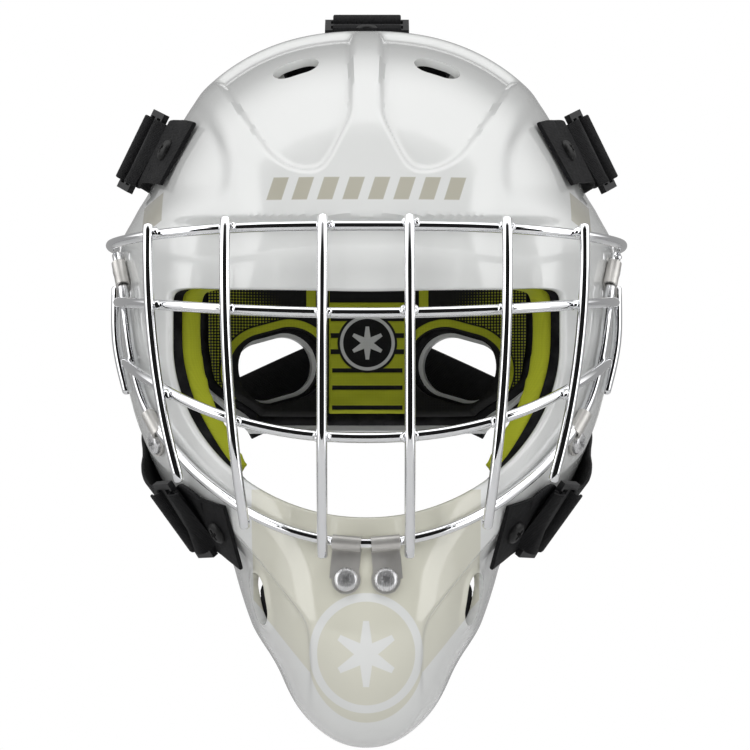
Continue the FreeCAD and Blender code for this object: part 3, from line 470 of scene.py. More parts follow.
class Shade:
    """Node maths for one material. Each operation takes sockets or numbers and gives a socket."""

    def __init__(self, name, color, roughness, metallic=0.0, **sockets):
        self.material = bpy.data.materials.new(name)
        self.material.use_nodes = True
        self.tree = self.material.node_tree
        self.bsdf = self.tree.nodes["Principled BSDF"]
        self.bsdf.inputs["Base Color"].default_value = (*color, 1.0)
        self.bsdf.inputs["Roughness"].default_value = roughness
        self.bsdf.inputs["Metallic"].default_value = metallic
        for key, value in sockets.items():
            self.bsdf.inputs[key.replace("_", " ")].default_value = value
        self.height = None

    def node(self, kind, **props):
        n = self.tree.nodes.new(kind)
        for key, value in props.items():
            setattr(n, key, value)
        return n

    def put(self, socket, value):
        if isinstance(value, bpy.types.NodeSocket):
            self.tree.links.new(value, socket)
        else:
            socket.default_value = value

    def math(self, operation, a, b=None, c=None, clamp=False):
        n = self.node("ShaderNodeMath", operation=operation, use_clamp=clamp)
        for socket, value in zip(n.inputs, (a, b, c)):
            if value is not None:
                self.put(socket, value)
        return n.outputs[0]

    def add(self, a, b):
        return self.math("ADD", a, b)

    def sub(self, a, b):
        return self.math("SUBTRACT", a, b)

    def mul(self, a, b):
        return self.math("MULTIPLY", a, b)

    def low(self, a, b):
        return self.math("MINIMUM", a, b)

    def high(self, a, b):
        return self.math("MAXIMUM", a, b)

    def rise(self, value, low, high):
        """0 below low and 1 above high."""
        n = self.node("ShaderNodeMapRange", interpolation_type="SMOOTHSTEP")
        for socket, v in zip(n.inputs, (value, low, high, 0.0, 1.0)):
            self.put(socket, v)
        return n.outputs[0]

    def inside(self, distance, blur=0.25):
        """1 where a signed distance in millimetres is below 0, with a soft edge."""
        return self.rise(distance, blur, -blur)

    def place(self):
        """X, Y and Z in millimetres, in the row frame at rest."""
        coordinates = self.node("ShaderNodeTexCoord").outputs["Object"]
        n = self.node("ShaderNodeSeparateXYZ")
        scaled = self.node("ShaderNodeVectorMath", operation="SCALE")
        self.put(scaled.inputs[0], coordinates)
        scaled.inputs["Scale"].default_value = 1000.0
        self.put(n.inputs[0], scaled.outputs[0])
        return n.outputs

    def weave(self):
        """Millimetres along and across the piece, from its weave map."""
        uv = self.node("ShaderNodeUVMap", uv_map="weave")
        scaled = self.node("ShaderNodeVectorMath", operation="SCALE")
        self.put(scaled.inputs[0], uv.outputs[0])
        scaled.inputs["Scale"].default_value = 1000.0
        n = self.node("ShaderNodeSeparateXYZ")
        self.put(n.inputs[0], scaled.outputs[0])
        return n.outputs[0], n.outputs[1]

    def noise(self, scale, detail=3.0, roughness=0.5, distortion=0.0):
        """Noise from 0 to 1 over the piece, with scale in features per metre."""
        n = self.node("ShaderNodeTexNoise")
        self.put(n.inputs["Vector"], self.node("ShaderNodeTexCoord").outputs["Object"])
        n.inputs["Scale"].default_value = scale
        n.inputs["Detail"].default_value = detail
        n.inputs["Roughness"].default_value = roughness
        n.inputs["Distortion"].default_value = distortion
        return n.outputs[0]

    def cells(self, scale, feature="F1"):
        n = self.node("ShaderNodeTexVoronoi", feature=feature)
        self.put(n.inputs["Vector"], self.node("ShaderNodeTexCoord").outputs["Object"])
        n.inputs["Scale"].default_value = scale
        return n.outputs[0]

    def color_mix(self, share, a, b):
        n = self.node("ShaderNodeMix", data_type="RGBA")
        self.put(n.inputs["Factor"], share)
        colors = [s for s in n.inputs if s.type == "RGBA"]
        for socket, value in zip(colors, (a, b)):
            self.put(socket, value if isinstance(value, bpy.types.NodeSocket) else (*value, 1.0))
        return [s for s in n.outputs if s.type == "RGBA"][0]

    def set(self, name, value):
        self.put(self.bsdf.inputs[name], value)
        return self

    def vary(self, low, high, value):
        return self.add(self.mul(value, high - low), low)

    def bump(self, height, distance, strength=1.0):
        """height is in millimetres when distance is 0.001."""
        n = self.node("ShaderNodeBump")
        n.inputs["Strength"].default_value = strength
        n.inputs["Distance"].default_value = distance
        self.put(n.inputs["Height"], height)
        if self.height is not None:
            self.put(n.inputs["Normal"], self.height)
        self.height = n.outputs[0]
        self.put(self.bsdf.inputs["Normal"], self.height)
        return self


WHITE = (0.79, 0.80, 0.79)
CREAM = (0.70, 0.69, 0.59)
BEIGE = (0.50, 0.48, 0.40)
GREEN = (0.46, 0.50, 0.030)
BLACK = (0.012, 0.012, 0.013)


def shell_material():
    """White gel coat with a cream chin panel, a plain ring and star on it, and slanted bars on the brow."""
    s = Shade("shell_gel_coat", WHITE, 0.16, Coat_Weight=1.0, Coat_Roughness=0.035, Specular_IOR_Level=0.5)
    x, y, z = s.place()
    ax = s.math("ABSOLUTE", x)
    front = s.inside(s.add(y, 30.0), 2.0)

    # Cream panel: a wide upper part cut off along two slants, and a round lobe at the foot.
    slant = s.sub(s.mul(s.sub(ax, 43.0), 0.759), s.mul(s.add(z, 122.0), 0.651))
    upper = s.high(s.high(slant, s.sub(ax, 52.0)), s.sub(-142.0, z))
    lobe_z = s.mul(s.add(z, 133.0), 0.825)
    lobe = s.sub(s.math("SQRT", s.add(s.mul(x, x), s.mul(lobe_z, lobe_z))), 26.5)
    panel = s.low(upper, lobe)
    panel = s.high(panel, s.add(z, 60.0))

    # A plain ring with a six-armed star.
    rz = s.mul(s.add(z, 133.0), 0.93)
    radius = s.math("SQRT", s.add(s.mul(x, x), s.mul(rz, rz)))
    ring = s.sub(s.math("ABSOLUTE", s.sub(radius, 23.8)), 1.8)
    arms = star(s, x, rz, 14.0, 3.4, 0.15)
    mark = s.high(s.low(ring, arms), s.add(z, 95.0))

    # Slanted bars across the foot of the forehead.
    lean = s.sub(x, s.mul(s.sub(z, 77.0), 0.32))
    cell = s.sub(s.math("FRACT", s.math("DIVIDE", s.add(lean, 232.0), 11.6)), 0.5)
    bars = s.sub(s.math("ABSOLUTE", s.mul(cell, 11.6)), 3.5)
    bars = s.high(bars, s.sub(s.math("ABSOLUTE", s.sub(z, 77.2)), 5.2))
    bars = s.high(bars, s.sub(s.math("ABSOLUTE", lean), 46.2))

    # Beige patches at the temples.
    patch = s.sub(s.math("ABSOLUTE", s.add(s.sub(z, 70.0), s.mul(s.sub(ax, 98.0), 0.7))), 7.0)
    patch = s.high(patch, s.sub(s.math("ABSOLUTE", s.sub(ax, 101.0)), 5.0))

    color = s.color_mix(s.mul(s.inside(panel), front), WHITE, CREAM)
    color = s.color_mix(s.mul(s.inside(mark), front), color, WHITE)
    color = s.color_mix(s.mul(s.inside(s.low(bars, patch)), front), color, BEIGE)
    haze = s.rise(s.noise(9.0, 3.0), 0.3, 0.75)
    color = s.color_mix(s.mul(haze, 0.06), color, (0.70, 0.72, 0.70))
    s.set("Base Color", color)
    s.set("Roughness", s.vary(0.12, 0.22, s.noise(60.0, 4.0)))
    s.bump(s.noise(160.0, 2.0), 0.00004)
    return s.material


def chrome_material():
    s = Shade("chrome_wire", (0.86, 0.865, 0.88), 0.05, 1.0)
    s.set("Roughness", s.vary(0.02, 0.07, s.rise(s.noise(240.0, 4.0), 0.35, 0.8)))
    s.bump(s.noise(260.0, 2.0), 0.000006)
    return s.material


def steel_material(name, color, roughness, grain=(900.0, 90.0), metallic=0.7):
    """Metal with fine drawn lines."""
    s = Shade(name, color, roughness, metallic)
    stretch = s.node("ShaderNodeMapping")
    s.put(stretch.inputs["Vector"], s.node("ShaderNodeTexCoord").outputs["Object"])
    stretch.inputs["Scale"].default_value = (grain[0], grain[1], grain[1])
    n = s.node("ShaderNodeTexNoise")
    s.put(n.inputs["Vector"], stretch.outputs[0])
    n.inputs["Scale"].default_value = 1.0
    n.inputs["Detail"].default_value = 4.0
    s.set("Roughness", s.vary(roughness * 0.7, roughness * 1.5, n.outputs[0]))
    s.set("Base Color", s.color_mix(s.rise(s.noise(70.0), 0.35, 0.7), color, tuple(v * 0.8 for v in color)))
    s.bump(n.outputs[0], 0.00002)
    return s.material


def plastic_material(name, color, roughness, grain=0.00006):
    s = Shade(name, color, roughness, Specular_IOR_Level=0.3)
    s.set("Roughness", s.vary(roughness * 0.8, roughness * 1.25, s.noise(120.0, 4.0)))
    s.set("Base Color", s.color_mix(s.mul(s.noise(25.0), 0.4), color, tuple(v * 1.15 + 0.002 for v in color)))
    s.bump(s.noise(1500.0, 2.0), grain)
    return s.material


def webbing_material():
    """Elastic webbing: fine ribs along it, crossed by weft."""
    s = Shade("elastic_webbing", BLACK, 0.6, Specular_IOR_Level=0.18)
    u, v = s.weave()
    ribs = s.math("SINE", s.mul(v, 2 * math.pi / 1.5))
    weft = s.math("SINE", s.add(s.mul(u, 2 * math.pi / 0.9), s.mul(s.math("SIGN", ribs), 1.57)))
    thread_relief_and_sheen = s.add(s.mul(s.math("ABSOLUTE", ribs), 0.6), s.mul(s.math("ABSOLUTE", weft), 0.4))
    # Painted sheen and painted shade: the colour is lighter on the crowns of the ribs and weft and darker in the
    # grooves between them, following the bump height.
    s.set("Base Color", s.color_mix(thread_relief_and_sheen, (0.0015, 0.0015, 0.002), (0.011, 0.011, 0.012)))
    s.set("Roughness", s.vary(0.4, 0.7, s.noise(300.0)))
    s.bump(thread_relief_and_sheen, 0.0005, 1.0)
    return s.material


def foam_material():
    """Closed-cell foam with small pores."""
    s = Shade("closed_cell_foam", (0.02, 0.02, 0.021), 0.85, Specular_IOR_Level=0.15)
    pores = s.cells(900.0)
    cells = s.rise(s.noise(120.0, 5.0), 0.3, 0.8)
    s.set("Base Color", s.color_mix(cells, (0.005, 0.005, 0.006), (0.022, 0.022, 0.023)))
    s.bump(pores, 0.0002, 0.7)
    s.bump(s.noise(90.0, 4.0), 0.0006, 0.5)
    return s.material


def dots(s, a, b, pitch):
    """From 0 to 1, highest at the centres of staggered dots."""
    one = s.math("COSINE", s.mul(s.add(a, b), math.pi / pitch))
    two = s.math("COSINE", s.mul(s.sub(a, b), math.pi / pitch))
    return s.add(s.mul(s.mul(one, two), 0.5), 0.5)


def shaded_green(s, weave):
    shade = s.add(s.mul(weave, 0.35), s.mul(s.noise(40.0, 4.0), 0.65))
    return s.color_mix(shade, tuple(v * 0.78 for v in GREEN), tuple(v * 1.15 for v in GREEN))


def green_material():
    """Yellow-green fabric face on the cheek liners."""
    s = Shade("pad_cloth_green", GREEN, 0.7, Specular_IOR_Level=0.25)
    _, y, z = s.place()
    weave = dots(s, y, z, 0.8)
    s.set("Base Color", shaded_green(s, weave))
    s.set("Roughness", s.vary(0.6, 0.8, s.noise(200.0)))
    s.bump(weave, 0.00008, 0.5)
    s.bump(s.noise(60.0, 4.0), 0.0006, 0.5)
    return s.material


def distance_box(s, x, z, centre, half):
    """Signed distance-like value of an upright rectangle, in millimetres."""
    return s.high(s.sub(s.math("ABSOLUTE", s.sub(x, centre[0])), half[0]),
                  s.sub(s.math("ABSOLUTE", s.sub(z, centre[1])), half[1]))


def star(s, x, z, reach, half_width, taper):
    """A plain six-armed star."""
    arms = None
    for k in range(3):
        c, n = math.cos(math.radians(60 * k)), math.sin(math.radians(60 * k))
        across = s.math("ABSOLUTE", s.add(s.mul(x, c), s.mul(z, n)))
        along = s.math("ABSOLUTE", s.sub(s.mul(z, c), s.mul(x, n)))
        arm = s.high(s.sub(across, s.sub(half_width, s.mul(along, taper))), s.sub(along, reach))
        arms = arm if arms is None else s.low(arms, arm)
    return arms


def centre_pad_material():
    """Yellow-green fabric with black bars, and a round badge with a plain star."""
    s = Shade("pad_cloth_barred", GREEN, 0.7, Specular_IOR_Level=0.25)
    x, _, z = s.place()
    ax = s.math("ABSOLUTE", x)
    weave = dots(s, x, z, 0.8)
    badge_z = s.sub(z, 8.7)
    radius = s.math("SQRT", s.add(s.mul(x, x), s.mul(badge_z, badge_z)))
    bars = distance_box(s, x, z, (0.0, 33.0), (19.8, 3.2))
    for height in (-5.6, -14.6, -25.0):
        bars = s.low(bars, distance_box(s, x, z, (0.0, height), (18.4, 1.15)))
    for height in (4.2, 12.6, 21.4):
        bars = s.low(bars, distance_box(s, x, z, (0.0, height), (19.2, 1.3)))
    bars = s.low(bars, s.sub(radius, 15.6))
    bars = s.low(bars, s.sub(s.math("ABSOLUTE", s.sub(ax, 22.4)), 2.4))
    pale = s.sub(s.math("ABSOLUTE", s.sub(radius, 13.5)), 0.85)
    pale = s.low(pale, star(s, x, badge_z, 8.6, 2.1, 0.14))
    color = s.color_mix(s.inside(bars, 0.2), shaded_green(s, weave), (0.010, 0.010, 0.011))
    s.set("Base Color", s.color_mix(s.inside(pale, 0.15), color, (0.62, 0.63, 0.63)))
    s.set("Roughness", s.vary(0.6, 0.8, s.noise(200.0)))
    s.bump(weave, 0.00008, 0.5)
    s.bump(s.mul(s.inside(bars, 0.8), -0.5), 0.001)
    return s.material


def wing_material():
    """Black mesh over yellow-green foam, with a yellow-green arch round the vent."""
    s = Shade("pad_mesh_arch", BLACK, 0.68, Specular_IOR_Level=0.2)
    x, _, z = s.place()
    ax = s.math("ABSOLUTE", x)
    at = vent_site(1, -20.0)[0]
    c, n = math.cos(math.radians(15.6)), math.sin(math.radians(15.6))
    u = s.math("ABSOLUTE", s.sub(s.mul(s.sub(ax, at[0]), c), s.mul(s.sub(z, at[2]), n)))
    v = s.high(s.add(s.mul(s.sub(z, at[2]), c), s.mul(s.sub(ax, at[0]), n)), 0.0)
    u = s.high(s.sub(u, 6.0), 0.0)
    outside = s.sub(s.math("SQRT", s.add(s.mul(u, u), s.mul(v, v))), 16.0)
    arch = s.sub(s.math("ABSOLUTE", s.sub(outside, 5.4)), 1.9)
    arch = s.low(arch, distance_box(s, ax, z, (29.4, 40.0), (2.4, 16.0)))
    spots = dots(s, x, z, 1.5)
    fade = s.mul(s.rise(s.add(ax, s.mul(s.sub(z, 25.0), -0.9)), 36.0, 62.0), s.rise(outside, 7.6, 8.4))
    spot = s.rise(s.add(spots, s.mul(fade, 0.32)), 0.88, 0.98)
    mesh = s.color_mix(s.mul(spot, fade), (0.012, 0.012, 0.012), tuple(v * 0.8 for v in GREEN))
    s.set("Base Color", s.color_mix(s.inside(arch, 0.25), mesh, shaded_green(s, spots)))
    s.set("Roughness", s.vary(0.55, 0.8, s.noise(200.0)))
    s.bump(spots, 0.0002, 0.5)
    s.bump(s.mul(s.inside(s.sub(arch, 0.4), 0.8), 0.6), 0.001)
    return s.material


# ---------------------------------------------------------------- shell


def make_shell():
    columns, rows, inner_rows, rim = 280 * FINE, 75 * FINE, 30 * FINE, 9
    angles = np.linspace(0, 2 * math.pi, columns, endpoint=False)

    def band(shares, lifts):
        a, s = np.meshgrid(angles, shares)
        lift = np.broadcast_to(np.asarray(lifts, float).reshape(-1, 1), a.shape)
        return skin(shell_direction(a, s), lift)

    outer = band(np.linspace(0, 1, rows), [0.0] * rows)
    inner = band(np.linspace(1, 0, inner_rows), [-SHELL] * inner_rows)
    rear = rounded_rim(outer[-1], inner[0], outer[-2], rim)
    eye = rounded_rim(inner[-1], outer[0], inner[-2], rim)
    loops = np.concatenate([outer, rear, inner, eye])
    faces = grid_faces(len(loops), columns, close_rows=True, close_columns=True)
    o = outward(new_object("shell_skin", loops.reshape(-1, 3), faces))
    cutters = []
    for s in (-1, 1):
        sites = [
            (front_direction(s * 34.5, 140.5), (s, 0, -0.38), 21.5, 15.0),
            (front_direction(s * 51.0, -111.0), (-s * 0.25, 0, -1), *CHIN_VENT),
        ]
        sites += [(side_direction(-30.0 + 12.0 * k, -20.0 - 5.0 * k, s), (0, 0.45, 1), 26.0, 6.0) for k in range(3)]
        for k, (d, axis, long_side, short_side) in enumerate(sites):
            at = skin(d)
            cutters.append(
                stadium_cutter(f"vent{s}{k}", at, np.array(axis, float), normal(d), long_side, short_side, flare=0.9))
    cut(o, cutters)
    return smooth_by_angle(o, 42.0)


def rounded_rim(first, last, before, count):
    """Rings that close the edge between two skins with a rounded lip. before is the ring inside of first."""
    middle, half = (first + last) / 2, (first - last) / 2
    outwards = unit(first - before)
    thick = np.linalg.norm(half, axis=-1, keepdims=True)
    turns = np.linspace(0, math.pi, count + 2)[1:-1]
    return np.stack([middle + half * math.cos(t) + outwards * thick * math.sin(t) * 0.85 for t in turns])


# ---------------------------------------------------------------- cage

WIRE, WIRE_GAP, WIRE_STANDOFF = 4.76, 0.04, 1.2
CAGE_HALF_WIDTH, CAGE_BACK_Y, CAGE_POWER = 113.2, -45.0, 2.6
UPRIGHT_TOPS, UPRIGHT_FEET, FOOT_HEIGHTS = (19.5, 63.5, 99.5), (19.5, 54.0, 84.0), (-88.5, -75.5, -55.0)
SIDE_STATIONS = np.array(
    [(97.0, -33.0), (104.0, -20.0), (108.0, -6.0), (111.0, 8.0), (113.0, 22.0), (114.6, 36.0), (115.8, 49.0)])


def cage_half_width(z):
    return CAGE_HALF_WIDTH + 10.0 * step(z, -20.0, 75.0)


def cage_point(x, z, out=0.0):
    half_width = cage_half_width(z) + out
    rest = np.maximum(0.0, 1.0 - (np.abs(x) / half_width) ** CAGE_POWER)
    depth = 122.0 - 24.0 * ((z + 20.0) / 78.0) ** 2
    return pack(x, CAGE_BACK_Y - (depth + out) * rest ** (1.0 / CAGE_POWER), z)


def cross_bar(height_at, half_angle, tail, count=33):
    angle = math.radians(half_angle) * np.linspace(-1, 1, count)
    share = np.sign(angle) * np.abs(np.sin(angle)) ** (2.0 / CAGE_POWER)
    x = share * cage_half_width(height_at(share * CAGE_HALF_WIDTH))
    points = cage_point(x, height_at(x))
    back = np.array([[0, tail, 0], [0, tail / 2, 0]])
    return np.concatenate([points[0] + back, points, points[-1] + back[::-1]])


def top_bar_height(x):
    return 59.0 - 6.0 * (np.abs(x) / 122.0) ** 3


def perimeter_height(x):
    return -85.5 + 50.0 * (np.abs(x) / 97.0) ** 2


def wire_on_shell(x, z):
    return skin(front_direction(x * 0.978, z * 0.985), WIRE / 2.0 + WIRE_STANDOFF)


def perimeter_path():
    under = 9.0 * np.arange(10)
    right = np.concatenate([wire_on_shell(under, perimeter_height(under)), wire_on_shell(*SIDE_STATIONS.T)])
    return np.concatenate([right[:0:-1] * (-1, 1, 1), right])


def upright_path(number, side):
    top_x, foot_x = UPRIGHT_TOPS[number], UPRIGHT_FEET[number]
    top_z, foot_z = top_bar_height(top_x) + 4.0, FOOT_HEIGHTS[number]
    crossing = wire_on_shell(foot_x, perimeter_height(foot_x))
    clear = WIRE + WIRE_GAP
    push = min(0.0, crossing[1] - 1.06 * clear - cage_point(crossing[0], crossing[2], clear)[1])
    t = np.linspace(0, 1, 17)
    z = mix(top_z, foot_z, t)
    p = cage_point(side * mix(top_x, foot_x, t**2.2), z, clear)
    p[:, 1] += push * step(-z, -crossing[2] - 40.0, -crossing[2])
    return p


def ear_bar_path(side):
    t = np.linspace(0, 1, 7)
    return skin(side_direction(mix(-41.0, -54.0, t), mix(33.0, -15.0, t), side), WIRE / 2.0 + WIRE_STANDOFF)


def spline(poles, per_span):
    """Points on the clamped uniform cubic B-spline of some poles, as in the CAD."""
    n = len(poles)
    knots = np.concatenate([[0] * 3, np.arange(n - 2), [n - 3] * 3]).astype(float)
    t = np.linspace(0, n - 3 - 1e-9, (n - 3) * per_span + 1)[:, None]
    basis = ((knots[:-1] <= t) & (t < knots[1:])).astype(float)
    for degree in range(1, 4):
        width = knots[degree:] - knots[:-degree]
        width = np.where(width > 0, width, np.inf)
        rising = (t - knots[: -degree - 1]) / width[:-1] * basis[:, :-1]
        basis = rising + (knots[degree + 1:] - t) / width[1:] * basis[:, 1:]
    return basis @ poles


def wire(name, poles, radius=WIRE / 2.0, around=28):
    """A round wire with domed ends."""
    line = spline(poles, 3 * FINE)
    ahead = unit(np.gradient(line, axis=0))
    dome = np.linspace(0.08, 1.0, 6)
    cap = np.sqrt(1 - dome**2) * 0.55 * radius
    centre = np.concatenate([
        line[0] - ahead[0] * cap[:, None], line[1:-1],
        line[-1] + ahead[-1] * cap[::-1][:, None]])
    ahead = np.concatenate([np.repeat(ahead[:1], 6, 0), ahead[1:-1], np.repeat(ahead[-1:], 6, 0)])
    reach = np.concatenate([dome, np.ones(len(line) - 2), dome[::-1]]) * radius
    side = np.cross(ahead[0], [0.3, 0.2, 1.0])
    turns = np.linspace(0, 2 * math.pi, around, endpoint=False)[:, None]
    rings = []
    for c, a, r in zip(centre, ahead, reach):
        side = unit(side - a * np.dot(side, a))
        rings.append(c + (side * np.cos(turns) + np.cross(a, side) * np.sin(turns)) * r)
    faces = grid_faces(len(rings), around, close_columns=True)
    faces += [list(range(around)), list(range((len(rings) - 1) * around, len(rings) * around))]
    return outward(new_object(name, np.concatenate(rings), faces))


def make_cage(material):
    paths = {
        "top_bar": cross_bar(top_bar_height, 87.0, 20.0),
        "brow_bar": cross_bar(lambda x: 19.5 + 6.5 * (np.abs(x) / 115.0) ** 2, 86.0, 12.0),
        "cheek_bar": cross_bar(lambda x: -36.0 + 34.0 * (np.abs(x) / 113.0) ** 2.2, 84.0, 9.0),
        "perimeter_wire": perimeter_path(),
    }
    for side, hand in ((-1, "left"), (1, "right")):
        paths[f"ear_bar_{hand}"] = ear_bar_path(side)
        for number, name in enumerate(("inner", "middle", "outer")):
            paths[f"upright_{name}_{hand}"] = upright_path(number, side)
    for name, path in paths.items():
        o = wire(f"wire_{name}", path)
        o.data.materials.append(material)
        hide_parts(f"cage_{name}")
        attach(o, MASK)


# ---------------------------------------------------------------- harness

STRAPS = [("top", 0), ("upper", -1), ("upper", 1), ("lower", -1), ("lower", 1)]


def strap_name(kind, side):
    return kind if side == 0 else kind + ("_left" if side < 0 else "_right")


def strap_ends(kind, side):
    if kind == "top":
        return top_direction(0.0, -2.0), top_direction(0.0, 30.0), back_direction(0.0, 112.0)
    if kind == "upper":
        return (front_direction(side * 90.0, 97.0), side_direction(-10.0, 98.0, side),
                back_direction(side * 74.0, 76.0))
    return (front_direction(side * 60.0, -82.0), front_direction(side * 80.0, -72.0),
            back_direction(side * 86.0, -14.0))


def strap_run(start, end, lifts, count):
    shares = np.linspace(0, 1, count)
    d = arc(start, end, shares)
    n = normal(d)
    ahead = form(arc(start, end, shares + 0.02)) - form(arc(start, end, shares - 0.02))
    lift = np.array([lifts(t) for t in shares])
    return form(d) + n * lift[:, None], unit(np.cross(n, ahead)), n


def buckle_axes(kind, side):
    """The buckle's centre, its direction towards the back plate, across it, and out."""
    centre, axes = box_frame(f"buckle_{strap_name(kind, side)}")
    _, buckle, rear = strap_ends(kind, side)
    n = normal(buckle)
    out = axes[2] * np.sign(np.dot(axes[2], n))
    ahead = axes[1] * np.sign(np.dot(axes[1], form(rear) - form(buckle)))
    return centre, ahead, axes[0], out


def loop_points(centre, ahead, out, way):
    """A turn of webbing round one outer bar of the buckle. way is -1 for the tab's bar and 1 for the strap's."""
    local = [(9.5, -2.4), (6.8, -2.9), (4.4, -2.0), (3.4, 0.0), (4.2, 2.2), (6.6, 3.1), (9.5, 2.3), (13.0, 0.2)]
    return [centre + ahead * way * a + out * b for a, b in local]


def tab_lift(kind):
    """A tab's lift at each share of the way. The upper ones start down in the harness recess."""
    sunk = 2.4 if kind == "upper" else 0.0
    return lambda t: TAB_SHEET / 2.0 + 0.4 - sunk * (1.0 - step(t, 0.5, 1.0))


def make_webbing(material):
    pieces = []
    for kind, side in STRAPS:
        name = strap_name(kind, side)
        front, buckle, rear = strap_ends(kind, side)
        centre, ahead, _, out = buckle_axes(kind, side)
        length = np.linalg.norm(form(rear) - form(buckle))

        # The tab lies on the shell, lifts under the buckle and turns back over its front bar.
        share = 1.0 - 15.0 / np.linalg.norm(form(buckle) - form(front))
        on_shell, across, _ = strap_run(front, arc(front, buckle, share), tab_lift(kind), 10)
        loop = loop_points(centre, ahead, out, -1)
        path = smooth_path(np.concatenate([on_shell, loop]), 40 * FINE)
        tab = ribbon(f"webbing_tab_{name}", path, spread(across, path, on_shell), STRAP_WIDTH, TAB_SHEET)
        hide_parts(f"harness_tab_{name}")
        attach(tab, MASK)
        pieces.append(tab)

        # The strap turns round the rear bar, leaves the shell behind and ends on the back plate.
        tilt = math.radians(BUCKLE_TILT[kind])
        start_share = (BUCKLE_LENGTH / 2 * math.cos(tilt) + 8.0) / length
        on_shell_lift = 1.5 if kind == "lower" else 3.2
        at_buckle, on_plate = 4.0 + BUCKLE_LENGTH * math.sin(tilt) * 0.7, STRAP_SHEET / 2 + 0.3 - PLATE_GAP

        def lift(t):
            return mix(mix(at_buckle, on_shell_lift, step(t, 0.0, 0.4)), on_plate, step(t, 0.5, 0.9))

        run, across, _ = strap_run(arc(buckle, rear, start_share), rear, lift, 18)
        loop = loop_points(centre, ahead, out, 1)[:-1][::-1]
        path = smooth_path(np.concatenate([loop, run]), 70 * FINE)
        strap = ribbon(f"webbing_strap_{name}", path, spread(across, path, run), STRAP_WIDTH, STRAP_SHEET)
        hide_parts(f"strap_{name}")
        begin, finish = centre + ahead * 16.0, form(arc(buckle, rear, 0.86))
        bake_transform(strap)
        pieces.append(strap)
    for side, hand in ((-1, "left"), (1, "right")):
        start, end = back_direction(side * 75.0, -29.0), back_direction(side * 8.0, 0.0)
        run, across, _ = strap_run(start, end, lambda t: STRAP_SHEET / 2 + 0.2 - PLATE_GAP, 30)
        strap = ribbon(f"webbing_rear_{hand}", run, across, 32.0, STRAP_SHEET)
        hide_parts(f"rear_strap_{hand}")
        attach(strap, PLATE)
        pieces.append(strap)
    for o in pieces:
        o.data.materials.append(material)


def spread(across, path, run):
    """The across vector of the nearest station of a run, at each point of a path."""
    nearest = np.argmin(np.linalg.norm(path[:, None] - run[None], axis=-1), axis=1)
    chosen = across[nearest]
    kernel = np.ones(7) / 7
    padded = np.pad(chosen, ((3, 3), (0, 0)), mode="edge")
    return unit(np.stack([np.convolve(padded[:, k], kernel, mode="valid") for k in range(3)], -1))


# ---------------------------------------------------------------- fasteners and welds


def pan_head(name, radius=5.4, height=2.7):
    """A Phillips pan head on a short shank, along Z from the head's underside."""
    profile = [(0.0, height), (radius * 0.35, height * 0.985), (radius * 0.62, height * 0.93),
               (radius * 0.82, height * 0.78), (radius * 0.94, height * 0.55), (radius, height * 0.28),
               (radius, 0.05), (radius * 0.97, 0.0), (2.4, 0.0), (2.4, -8.5), (0.0, -8.5)]
    n = 48
    turns = np.linspace(0, 2 * math.pi, n, endpoint=False)
    rings = np.array([[(r * math.cos(t), r * math.sin(t), z) for t in turns] for r, z in profile])
    o = new_object(name, rings.reshape(-1, 3), grid_faces(len(profile), n, close_columns=True))
    weld = o.modifiers.new("weld", "WELD")
    weld.merge_threshold = 0.00001
    apply_modifiers(o)
    outward(o)
    cutters = []
    for turn in (0, 90):
        wide, slim, deep = 3.3, 0.85, 2.1
        corners = []
        for z, w, s in ((height + 1.0, wide * 1.1, slim * 1.25), (height - deep, wide * 0.45, slim * 0.6)):
            corners += [(-w, -s, z), (w, -s, z), (w, s, z), (-w, s, z)]
        turned = Matrix.Rotation(math.radians(turn + 38), 3, "Z")
        points = [tuple(turned @ Vector(c)) for c in corners]
        faces = [[0, 1, 2, 3], [7, 6, 5, 4]] + [[k, (k + 1) % 4, (k + 1) % 4 + 4, k + 4][::-1] for k in range(4)]
        cutters.append(outward(new_object(f"recess{turn}", points, faces)))
    cut(o, cutters)
    return smooth_by_angle(o, 38.0)


def stand_at(source, name, foot, axis):
    """A copy of a Z-up piece with its foot and axis where a CAD fastener is."""
    o = bpy.data.objects.new(name, source.data)
    bpy.context.scene.collection.objects.link(o)
    turn = Vector((0, 0, 1)).rotation_difference(Vector(axis))
    o.matrix_world = Matrix.Translation(Vector(foot) / 1000.0) @ turn.to_matrix().to_4x4()
    return o


def join(objects, name):
    """One object holding copies of several, in the row frame."""
    points, faces, start = [], [], 0
    for o in objects:
        co = np.array([o.matrix_world @ v.co for v in o.data.vertices]) * 1000.0
        points.append(co)
        faces += [[v + start for v in p.vertices] for p in o.data.polygons]
        start += len(co)
    joined = new_object(name, np.concatenate(points), faces)
    for o in objects:
        bpy.data.objects.remove(o, do_unlink=True)
    return smooth_by_angle(joined, 38.0)


def make_screws(head, node, name, material):
    copies = []
    for k, points in enumerate(cad_islands(node)):
        foot, axis = axis_frame(points)
        copies.append(stand_at(head, f"{name}_{k}", foot, axis))
    bpy.context.view_layer.update()
    o = join(copies, name)
    o.data.materials.append(material)
    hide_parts(node)
    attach(o, MASK)
    return o


def wire_direction(cloud, at, reach=14.0):
    """The way a wire runs within reach of a point."""
    close = cloud[np.linalg.norm(cloud - at, axis=1) < reach]
    return np.linalg.eigh(np.cov((close - close.mean(0)).T))[1][:, 2]


